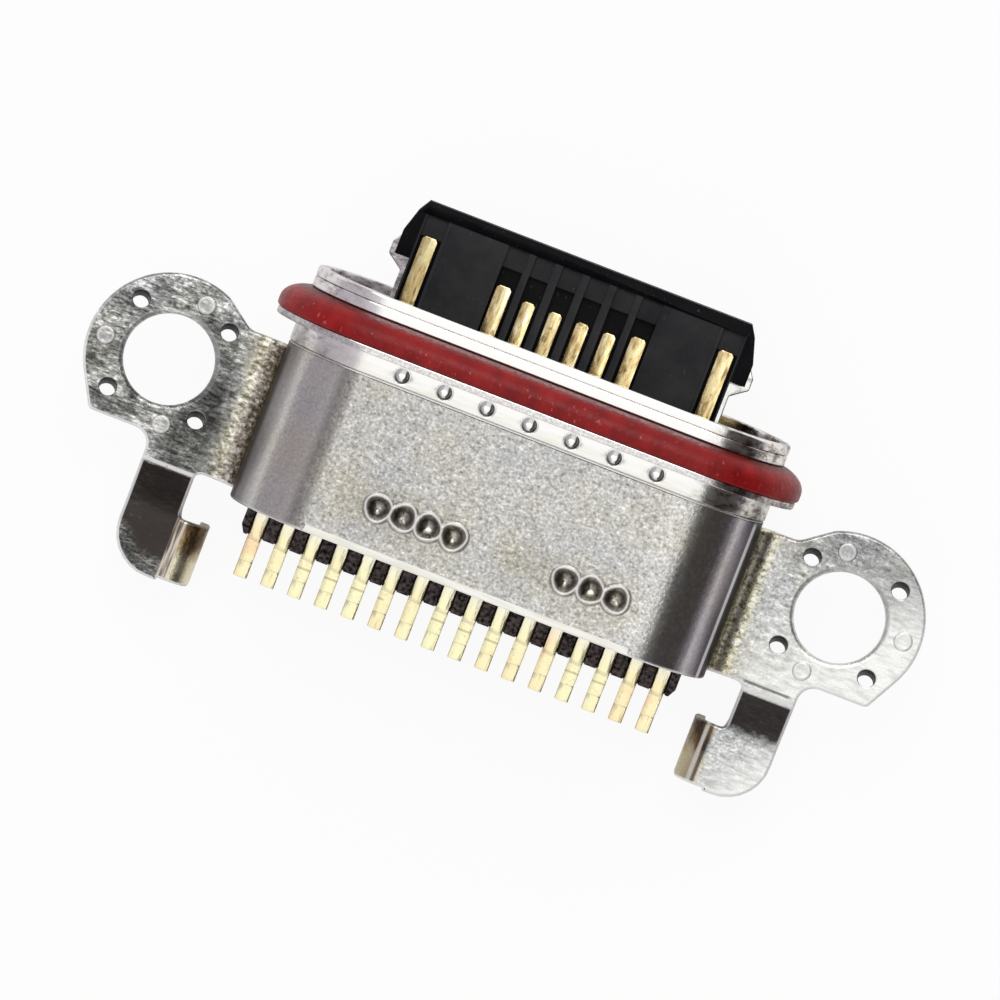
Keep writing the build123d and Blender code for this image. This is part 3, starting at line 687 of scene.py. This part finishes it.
def show_piece(name, mesh, finish, node_names):
    """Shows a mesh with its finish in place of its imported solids. Returns the piece."""
    mesh.polygons.foreach_set("use_smooth", [True] * len(mesh.polygons))
    mesh.materials.clear()
    mesh.materials.append(finish)
    piece = bpy.data.objects.new(name, mesh)
    scene.collection.objects.link(piece)
    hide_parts(*node_names)
    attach(piece, "root")
    print(name, len(mesh.polygons), "faces")
    return piece


def show_work(name, work, finish, node_names):
    """Turns a bmesh into a mesh and shows it."""
    mesh = bpy.data.meshes.new(name)
    work.to_mesh(mesh)
    work.free()
    return show_piece(name, mesh, finish, node_names)


# %% [markdown]
# The shell, its front collar and the seal all go round the same stadium: two half circles joined by
# straight runs. So each is one closed section carried round that path. The stations are close together
# where the welds are and further apart elsewhere. A Screw or Array modifier can't follow a stadium, and a
# curve bevel gives no say over where the stations lie.

# %% Stadium path
weld_places = [0.785 * index for index in range(-3, 4)]
weld_grid = 0.016                      # distance of the points round a weld
flat_steps = 8
outside_r = 1.40                       # points of a section beyond this lie on its outside


def stadium_path(top_places, arc_steps=44):
    """Stations round the stadium: the centre's x, and which way the section points (sideways, up)."""
    path = [(x, 0.0, 1.0) for x in top_places]
    path += [(centre_half, sin(pi * i / arc_steps), cos(pi * i / arc_steps)) for i in range(arc_steps)]
    path += [(centre_half * (1 - 2 * i / flat_steps), 0.0, -1.0) for i in range(flat_steps)]
    path += [(-centre_half, -sin(pi * i / arc_steps), -cos(pi * i / arc_steps)) for i in range(arc_steps)]
    return path


def close_to(places, reach, step, low, high, coarse):
    """Places between low and high, fine within reach of the given places and coarse elsewhere."""
    result = [low]
    while result[-1] < high - 1e-6:
        here = result[-1]
        near = any(here + coarse > place - reach and here < place + reach for place in places)
        result.append(min(here + (step if near else coarse), high))
    return result[:-1]


def carried_round(section, path, rise=None):
    """A closed (y, radius) section carried round the stadium. rise(x, y) lifts the top flat's outside."""
    work = bmesh.new()
    shade_mark = work.verts.layers.float.new("painted_shade")
    rings = []
    for centre_x, sideways, up in path:
        ring = []
        for y, radius in section:
            lifted = rise and up == 1.0 and radius > outside_r
            # rise also gives the share of painted shade at each point
            lift, painted_shade = rise(centre_x, y) if lifted else (0.0, 0.0)
            reach = radius + lift
            point = work.verts.new(Vector((centre_x + reach * sideways, y, reach * up)) * MM)
            point[shade_mark] = painted_shade
            ring.append(point)
        rings.append(ring)
    join_rings(work, rings + rings[:1])
    bmesh.ops.recalc_face_normals(work, faces=work.faces)
    return work


plain_flat = [centre_half * (-1 + index / 6) for index in range(12)]
weld_path = stadium_path(close_to(weld_places, 0.15, weld_grid, -centre_half, centre_half, 0.12))
print(len(weld_path), "stations round the shell")

# %% [markdown]
# Shell: deep drawn steel. From the front it has a band, the seal's seat, a flange, a neck with seven
# laser weld beads and the sleeve under the bracket. Each bead is a small crowned dot in a shallow ring,
# made by lifting the neck's points by a function of their distance from the weld. The same function gives
# a painted shade round each bead, darkest at its rear, and the points keep that as a mark for the shell's
# finish.

# %% Shell
mouth_r, band_r, seat_r, flange_r, neck_r, sleeve_r, bore_r = 1.28, 1.485, 1.35, 1.90, 1.515, 1.32, 1.24
band_y, seat_y, flange_y, neck_y, sleeve_y, rear_y = -2.33, -2.13, -1.62, -1.49, -1.13, 1.83
shell_corners = [(band_y, mouth_r, 0.02), (band_y, band_r, 0.03), (seat_y, band_r, 0.03),
                 (seat_y, seat_r, 0.02), (flange_y, seat_r, 0.02), (flange_y, flange_r, 0.03),
                 (neck_y, flange_r, 0.020), (neck_y, neck_r, 0.012), (sleeve_y, neck_r, 0.012),
                 (sleeve_y, sleeve_r, 0.02), (rear_y, sleeve_r, 0.025), (rear_y, bore_r, 0.025),
                 (sleeve_y, bore_r, 0.0), (sleeve_y, mouth_r, 0.0)]
weld_y = -1.315
bead_r = 0.130
bead_height = 0.075
sunk = 0.012                           # depth of the shallow ring round each bead
sunk_width = 0.02
shade_width = 0.027


def weld_bead(x, y):
    """Height of the weld beads over the neck, higher at the rear, and how strong the painted shade is
    there, darkest at each bead's rear.
    """
    away = min(hypot(x - place, y - weld_y) for place in weld_places)
    rearward = (y - weld_y) / bead_r
    dark = exp(-((away - 0.92 * bead_r) / shade_width) ** 2) * min(max(0.45 + 0.9 * rearward, 0.15), 1.0)
    if away < bead_r:
        return bead_height * (1 + 0.35 * rearward) * (1 - (away / bead_r) ** 3.5) - 0.010, dark
    return -sunk * exp(-((away - bead_r) / sunk_width) ** 2), dark


shell_section = []
for point in rounded(shell_corners, 22):
    last = shell_section[-1] if shell_section else None
    if last and max(abs(point.y - neck_r), abs(last.y - neck_r)) < 1e-6 and point.x - last.x > 0.1:
        length = point.x - last.x
        steps = round(length / weld_grid)
        shell_section += [Vector((last.x + length * i / steps, neck_r)) for i in range(1, steps)]
    shell_section.append(point)
shell_work = carried_round(shell_section, weld_path, weld_bead)
show_work("drawn_shell", shell_work, shell_steel, ["shell"])

# %% [markdown]
# Front collar: a thin ring pressed on the front of the shell. Its front edge is broken by a soft chamfer,
# and the fine dark seam behind it comes by itself from the two rounded corners that meet there.

# %% Front collar
front_y = -2.51
seam_y = band_y - 0.003
collar_corners = [(front_y, mouth_r, 0.03), (front_y, band_r, 0.055), (seam_y, band_r, 0.02),
                  (seam_y, mouth_r, 0.02)]
collar_work = carried_round(rounded(collar_corners), stadium_path(plain_flat))
show_work("collar_ring", collar_work, shell_steel, ["front_collar"])

# %% [markdown]
# Seal: moulded silicone with an oval nose toward the front, so that it slides into the case. A quarter of
# an ellipse gives the nose, and a small radius its rear.

# %% Seal
quarter = [pi / 2 * i / 16 for i in range(17)]
rear_quarter = [pi / 2 * i / 5 for i in range(6)]
seal_inner_r = 1.36
nose_y, nose_r = -1.77, 1.395          # centre of the ellipse
nose_length, nose_height = 0.36, 0.55
back_y, back_r, back_radius = -1.68, 1.885, 0.06     # centre and radius of the rounded rear edge
seal_section = [Vector((seat_y, seal_inner_r))]
seal_section += [Vector((nose_y - nose_length * cos(angle), nose_r + nose_height * sin(angle)))
                 for angle in quarter]
seal_section += [Vector((back_y + back_radius * sin(angle), back_r + back_radius * cos(angle)))
                 for angle in rear_quarter]
seal_section += [Vector((flange_y, seal_inner_r))]
seal_work = carried_round(seal_section, stadium_path(plain_flat, 60))
show_work("silicone_seal", seal_work, red_silicone, ["seal_ring"])

# %% [markdown]
# Bracket: one piece of sheet that is blanked flat in a press and then folded. It is made here in the same
# order. The flat blank is drawn as an outline along the sheet (measured on its outer skin from the
# middle), its edges are rolled as a press leaves them, cross lines are cut where it will bend, and a
# function then carries every point to its place on the folded part. Modelling the folded part directly
# would need the same edges drawn round every bend.

# %% Sizes of the folded sheet
sheet = 0.18
wrap_r = 1.51
bend_r = 0.36
neck_x = 4.77
ear_z = -0.40
arc_start = centre_half
arc_end = arc_start + wrap_r * pi / 2
bend_start = arc_end + 0.04
bend_end = bend_start + bend_r * pi / 2
ear_shift = bend_end - neck_x          # from a place on the folded ear to its place along the blank
foot_z = -0.865
leg_start_y = 1.74                     # where the leg's straight slope would meet the ear
leg_end_y = 2.52                       # and the foot
leg_slope = atan2(ear_z - foot_z, leg_end_y - leg_start_y)
outer_r = 0.28                         # upper skin's radius at the ear's end of the leg
inner_r = 0.10                         # and at the foot's end
slope_in = leg_start_y - outer_r * tan(leg_slope / 2)
slope_out = leg_end_y + inner_r * tan(leg_slope / 2)
tab_bend_x = 4.97
tab_r = 0.42
tab_side_y = 2.5                       # rearward of this the sheet belongs to the foot and its tab
print("blank is", round(2 * (7.75 + ear_shift), 2), "mm long,", round(degrees(leg_slope), 1), "degree leg")

# %% [markdown]
# Folding is a function from the flat blank to the folded part. It asks how far along the sheet a point
# lies and so on which flat or bend. A bend keeps the length of the outer skin, and the depth under that
# skin shortens or lengthens the radius.

# %% Fold
def leg_skin(y):
    """Height of the leg's upper skin at y, and how steeply it falls there."""
    if y < slope_in:
        return ear_z, 0.0
    if y < slope_in + outer_r * sin(leg_slope):
        angle = asin((y - slope_in) / outer_r)
        return ear_z - outer_r * (1 - cos(angle)), angle
    if y < slope_out - inner_r * sin(leg_slope):
        return ear_z - (y - leg_start_y) * tan(leg_slope), leg_slope
    if y < slope_out:
        angle = asin((slope_out - y) / inner_r)
        return foot_z + inner_r * (1 - cos(angle)), angle
    return foot_z, 0.0


def folded(along, y, depth):
    """Carries a point of the blank (along the sheet, y, depth under its outer skin) to the folded part."""
    side = 1 if along >= 0 else -1
    run = abs(along)
    x = run - ear_shift
    if run <= arc_start:
        x, z = run, wrap_r - depth
    elif y > tab_side_y and x < tab_bend_x:
        angle = min((tab_bend_x - x) / tab_r, pi / 2)
        drop = max(tab_bend_x - x - tab_r * pi / 2, 0)
        x = tab_bend_x - (tab_r - depth) * sin(angle)
        z = foot_z - tab_r + (tab_r - depth) * cos(angle) - drop
    elif run <= arc_end:
        angle = (run - arc_start) / wrap_r
        x = centre_half + (wrap_r - depth) * sin(angle)
        z = (wrap_r - depth) * cos(angle)
    elif run <= bend_start:
        x, z = centre_half + wrap_r - depth, arc_end - run
    elif run <= bend_end:
        angle = (run - bend_start) / bend_r
        x = neck_x - (bend_r + depth) * cos(angle)
        z = ear_z + bend_r - (bend_r + depth) * sin(angle)
    else:
        skin_z, slope = leg_skin(y)
        y -= depth * sin(slope)
        z = skin_z - depth * cos(slope)
    return Vector((side * x, y, z)) * MM


# %% [markdown]
# The blank's outline is drawn for one half and mirrored. The ear is a circle about the screw hole with
# one squared corner. The leg leaves it at the rear, and the tab that will be turned down is still flat,
# reaching toward the middle.

# %% Outline of the blank
ear_x = 6.25
ear_r = 1.50
ear_along = ear_x + ear_shift
neck_front_y, wrap_front_y = -0.98, -1.13
wrap_rear_y, flat_rear_y, flat_end_x = 1.82, 1.69, 3.02
fillet_end = radians(62)               # where the neck's fillet meets the ear's circle
corner = Vector((7.25, 1.31))          # squared corner of the ear
leg_inner_x, leg_outer_x = 5.10, 6.08
heel_y, foot_rear_y = 1.68, 3.73
tab_tip_x, tab_front_y, tab_rear_y = 3.65, 2.57, 3.68
neck_arc_x = ear_x - ear_r * cos(asin(neck_front_y / ear_r)) + ear_shift
near_neck = rounded([(bend_start, neck_front_y, 0), (neck_arc_x, neck_front_y, 0.30),
                     (ear_along - ear_r * cos(fillet_end), -ear_r * sin(fillet_end), 0)])[1:-1]
arc_first = radians(-114)
from_hole = corner - Vector((ear_x, 0))
arc_last = atan2(from_hole.y, from_hole.x) - acos(ear_r / from_hole.length)
ear_arc = [Vector((ear_along + ear_r * cos(angle), ear_r * sin(angle)))
           for angle in (arc_first + (arc_last - arc_first) * i / 50 for i in range(51))]
ear_and_leg = [(corner.x, corner.y, 0.13), (leg_outer_x, corner.y, 0.30), (leg_outer_x, foot_rear_y, 0.80),
               (leg_inner_x, foot_rear_y, 0.03), (leg_inner_x, tab_rear_y, 0.01),
               (tab_tip_x, tab_rear_y, 0.03), (tab_tip_x, tab_front_y, 0.03),
               (leg_inner_x, tab_front_y, 0.10), (leg_inner_x, heel_y, 0.13)]
rear = [(ear_arc[-1].x, ear_arc[-1].y, 0)]
rear += [(x + ear_shift, y, radius) for x, y, radius in ear_and_leg]
rear += [(bend_start, heel_y, 0.04), (bend_start, wrap_rear_y, 0.04), (flat_end_x, wrap_rear_y, 0.04),
         (flat_end_x, flat_rear_y, 0.04)]
half = [Vector(point) for point in ((bend_start - 0.02, wrap_front_y), (bend_start, wrap_front_y + 0.02),
                                    (bend_start, neck_front_y - 0.02), (bend_start + 0.02, neck_front_y))]
half += near_neck + ear_arc[:-1] + rounded(rear, 12)
blank_outline = half + [Vector((-point.x, point.y)) for point in reversed(half)]
print(len(blank_outline), "points round the blank")


# %% [markdown]
# A press leaves a rolled edge on one face and a sharper one on the other. Each loop, the outline and
# every hole, becomes a strip of quads from the upper face, over the roll, down the cut and round to the
# lower face. The punch tears the small holes slightly to one side, so their lower rims are shifted.
# Rolled edges are marked for a painted highlight, and the walls of the small holes for painted shade.

# %% Edges of the blank
def moved_in(loop, amount):
    """A closed loop moved to its left, into the metal, with mitred corners."""
    result = []
    for index, here in enumerate(loop):
        back = (here - loop[index - 1]).normalized()
        ahead = (loop[(index + 1) % len(loop)] - here).normalized()
        left = Vector((-back.y, back.x)) + Vector((-ahead.y, ahead.x))
        result.append(here + left * amount / max(1 + back.dot(ahead), 0.5))
    return result


def rolled_edge(work, loop, roll, shift=0.0, shine=1.0, burr=0.015):
    """The edge strip of one loop. Returns the edges of its upper and lower rims."""
    ways = [(here - there).normalized() for here, there in zip(loop, moved_in(loop, 0.001))]
    on_wrap = [abs(point.x) < bend_start and point.y < -1.0 for point in loop]
    # the edge gets a painted highlight, stronger where it faces the rear, and full along the wrap's front
    turned = [min(max(0.8 + 0.9 * way.y, 0.1), 1.0) for way in ways]
    shines = [shine if wrap else shine * bright for wrap, bright in zip(on_wrap, turned)]
    profile = [(roll * (1 - sin(pi / 2 * i / 5)), roll * (1 - cos(pi / 2 * i / 5))) for i in range(6)]
    profile += [(0, sheet - burr), (0.3 * burr, sheet - 0.3 * burr), (burr, sheet)]
    rings = []
    for inset, depth in profile:
        ring = []
        for point, bright in zip(moved_in(loop, inset), shines):
            vertex = work.verts.new((point.x, point.y + shift * depth / sheet, depth))
            vertex[edge_mark] = bright if depth > 0 else 0.0
            # the walls of the small holes carry the mark for painted shade
            vertex[hole_shade_mark] = 1.0 if shift > 0.05 and depth > 0.3 * roll else 0.0
            ring.append(vertex)
        rings.append(ring)
    join_rings(work, rings)
    return [[work.edges.get((ring[index - 1], ring[index])) for index in range(len(ring))]
            for ring in (rings[0], rings[-1])]


def circle_loop(x, y, radius, steps):
    """A hole's loop, clockwise, so that its left is the metal."""
    return [Vector((x + radius * cos(-2 * pi * i / steps), y + radius * sin(-2 * pi * i / steps)))
            for i in range(steps)]


blank = bmesh.new()
# The marks carry a painted highlight on edges, painted shade on the walls of the small holes, and painted
# shade at the craters.
for mark in ("edge", "hole_shade", "painted_shade"):
    blank.verts.layers.float.new(mark)
edge_mark, hole_shade_mark, shade_mark = (blank.verts.layers.float[mark] for mark in ("edge", "hole_shade", "painted_shade"))
outline_roll, screw_hole_roll, small_hole_roll = 0.055, 0.10, 0.03
screw_hole_r, small_hole_r, small_hole_off = 0.80, 0.15, 0.82
upper_rims, lower_rims = rolled_edge(blank, blank_outline, outline_roll)
for side in (1, -1):
    centre = side * ear_along
    strips = [rolled_edge(blank, circle_loop(centre, 0, screw_hole_r, 96), screw_hole_roll, 0.02, 0.35)]
    for dx in (-small_hole_off, small_hole_off):
        for dy in (-small_hole_off, small_hole_off):
            loop = circle_loop(centre + dx, dy, small_hole_r, 32)
            strips.append(rolled_edge(blank, loop, small_hole_roll, 0.13, 0.2))
    for upper, lower in strips:
        upper_rims += upper
        lower_rims += lower
print(len(upper_rims), "edges round the upper face")

# %% [markdown]
# Two groups of laser craters join the bracket to the shell. Their faces must be fine and the rest of the
# sheet need not be, so each group gets its own patch: a rectangle left open in the upper face and filled
# with a dense grid. In each crater the melt sank in a bowl and rose in a ring round it. The bowl's wall
# and a thin line outside the ring are marked for painted shade, which the finish darkens, and the ring as
# an edge, for a painted highlight that the finish brightens.

# %% Craters
crater_pitch = 0.463
crater_groups = [[0.53 + crater_pitch * i for i in range(4)], [-1.55 - crater_pitch * i for i in range(3)]]
crater_r = 0.20
crater_depth = 0.11
ring_r = 0.232
ring_height = 0.030
ring_width = 0.024
wall_r, wall_width = 0.135, 0.060      # where the melt is dark on the bowl's wall
line_r, line_width = 0.272, 0.014      # and in the thin line outside the ring
patch_margin = 0.34
patch_step = 0.013


def crater_field(x, y, places):
    """How deep the crater field lies under the sheet's skin at a point."""
    bowl = 0.0
    ring = 0.0
    for order, place in enumerate(places):
        wobble = 0.012 * sin(3 * atan2(y - crater_y, x - place) + 2.1 * order)
        away = max(hypot(x - place, y - crater_y) + wobble, 0.0)
        if away < crater_r:
            bowl = max(bowl, crater_depth * (1 - (away / crater_r) ** 1.7))
        ring = max(ring, exp(-((away - ring_r) / ring_width) ** 2))
    return bowl - ring_height * ring * (1 - min(bowl / ring_height, 1))


for places in crater_groups:
    low = Vector((min(places) - patch_margin, crater_y - patch_margin))
    high = Vector((max(places) + patch_margin, crater_y + patch_margin))
    corners = [blank.verts.new((x, y, 0)) for x, y in
               ((low.x, low.y), (high.x, low.y), (high.x, high.y), (low.x, high.y))]
    upper_rims += [blank.edges.new((corners[i - 1], corners[i])) for i in range(4)]
    columns = round((high.x - low.x) / patch_step)
    rows = round((high.y - low.y) / patch_step)
    grid = []
    for row in range(rows + 1):
        y = low.y + (high.y - low.y) * row / rows
        xs = [low.x + (high.x - low.x) * column / columns for column in range(columns + 1)]
        line = [blank.verts.new((x, y, crater_field(x, y, places))) for x in xs]
        for vertex in line:
            nearest = min(hypot(vertex.co.x - place, y - crater_y) for place in places)
            on_wall = exp(-((nearest - wall_r) / wall_width) ** 2)
            outside = 0.75 * exp(-((nearest - line_r) / line_width) ** 2)
            # painted shade on the bowl's wall and in a thin line outside the ring
            vertex[shade_mark] = max(on_wall, outside) if vertex.co.z > -0.02 else 0.0
            # painted highlight on the raised ring round each crater
            vertex[edge_mark] = min(max(-vertex.co.z / 0.024, 0.0), 0.8)
        grid.append(line)
    for near, far in zip(grid, grid[1:]):
        for column in range(columns):
            blank.faces.new((near[column], near[column + 1], far[column + 1], far[column]))
    print(len(places), "craters on a patch of", columns, "by", rows)

# %% [markdown]
# The two faces are filled between their rims. A face can only bend where it has points, so every place
# where the sheet will turn gets a row of cuts: the quarter bends round the shell, the bends out to the
# ears, the tabs and the legs.

# %% Faces of the blank and its fold lines
for rims in (upper_rims, lower_rims):
    bmesh.ops.triangle_fill(blank, use_beauty=True, use_dissolve=False, edges=rims)
fold_lines = [arc_start + (arc_end - arc_start) * i / 26 for i in range(27)]
fold_lines += [bend_start + (bend_end - bend_start) * i / 9 for i in range(10)]
fold_lines += [tab_bend_x - tab_r * pi / 2 * i / 12 + ear_shift for i in range(13)]
leg_lines = [slope_in + outer_r * sin(leg_slope * i / 4) for i in range(5)]
leg_lines += [slope_out - inner_r * sin(leg_slope * i / 4) for i in range(5)]
cuts = [((side * line, 0, 0), (1, 0, 0)) for line in fold_lines for side in (1, -1)]
cuts += [((0, line, 0), (0, 1, 0)) for line in leg_lines]
for place, across in cuts:
    everything = blank.verts[:] + blank.edges[:] + blank.faces[:]
    bmesh.ops.bisect_plane(blank, geom=everything, dist=1e-5, plane_co=place, plane_no=across)
print(len(cuts), "cuts,", len(blank.faces), "faces")


# %% [markdown]
# Three discs on each ear are pushed half through the sheet and stand a little proud. Each is a small
# turned dome with a rounded shoulder, set on the blank before it is folded.

# %% Half pierced discs
disc_profile = [(0.172, 0.004), (0.165, -0.012), (0.156, -0.026), (0.142, -0.034), (0.125, -0.036),
                (0.10, -0.031), (0.05, -0.029)]
disc_places = ((1.18, 0), (-0.28, 1.11), (-0.28, -1.11))
disc_steps = 36
round_angles = [2 * pi * i / disc_steps for i in range(disc_steps)]
for side in (1, -1):
    for dx, y in disc_places:
        x = side * (ear_x + dx + ear_shift)
        rings = []
        for radius, depth in disc_profile:
            rings.append([blank.verts.new((x + radius * cos(angle), y + radius * sin(angle), depth))
                          for angle in round_angles])
            for point in rings[-1]:
                # painted highlight on each disc's rim
                point[edge_mark] = 0.7 if 0.12 < radius < 0.16 else 0.3
        join_rings(blank, rings)
        blank.faces.new(rings[-1])
print(2 * len(disc_places), "discs")

# %% [markdown]
# The last step folds the blank. Long thin triangles on a nearly flat face shade unevenly when their
# normals are averaged, so the points on the sheet's two faces get their normals from the fold itself: the
# way from a point just under the skin to one just over it.

# %% Fold the blank
def turn_outward(work, outward):
    """Flips every loose part of a mesh whose faces point against the outward directions at its points."""
    bmesh.ops.recalc_face_normals(work, faces=work.faces)
    waiting = set(work.faces)
    while waiting:
        part = [waiting.pop()]
        for face in part:
            for edge in face.edges:
                fresh = [other for other in edge.link_faces if other in waiting]
                waiting.difference_update(fresh)
                part.extend(fresh)
        known = [(face, point) for face in part for point in face.verts if point in outward]
        if sum(face.normal.dot(outward[point]) for face, point in known) < 0:
            bmesh.ops.reverse_faces(work, faces=part)


outward = {}
for point in blank.verts:
    along, y, depth = point.co
    if abs(depth) < 1e-5 or abs(depth - sheet) < 1e-5:
        step = -0.01 if depth < sheet / 2 else 0.01
        outward[point] = (folded(along, y, depth + step) - folded(along, y, depth - step)).normalized()
for point in blank.verts:
    point.co = folded(*point.co)
turn_outward(blank, outward)
blank.normal_update()
skin_normals = [tuple(outward.get(point, point.normal)) for point in blank.verts]
bracket = show_work("folded_bracket", blank, bracket_steel, ["mounting_bracket"])
bracket.data.normals_split_custom_set_from_vertices(skin_normals)


# %% [markdown]
# Real edges are never knife sharp. For the moulded parts and the contacts a copy of the solid is enough:
# the mesh is cleaned and a Bevel modifier rounds each edge that turns by more than a set angle.

# %% Softened copies
def softened(name, node_name, edge_mm, finish):
    """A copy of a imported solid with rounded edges, shown in its place."""
    mesh = nodes[node_name].data.copy()
    mesh.name = name
    work = bmesh.new()
    work.from_mesh(mesh)
    bmesh.ops.remove_doubles(work, verts=work.verts, dist=0.0005 * MM)
    bmesh.ops.dissolve_limit(work, angle_limit=radians(1), verts=work.verts, edges=work.edges)
    work.to_mesh(mesh)
    work.free()
    bevel = show_piece(name, mesh, finish, [node_name]).modifiers.new("rounded edges", "BEVEL")
    bevel.width = edge_mm * MM
    bevel.segments = 2
    bevel.limit_method = "ANGLE"
    bevel.angle_limit = radians(35)
    bevel.harden_normals = True
    bevel.miter_outer = "MITER_ARC"


softened("insulator", "housing", 0.02, black_moulding)
for side in ("upper", "lower"):
    softened(side + "_contact_strip", side + "_wafer", 0.012, black_moulding)
softened("latch_plate", "mid_plate", 0.02, shell_steel)
softened("potting_fill", "rear_sealant", 0.01, potting)
for node_name in sorted(nodes):
    if node_name.startswith("contact_"):
        softened("gold_" + node_name, node_name, 0.018, contact_gold)
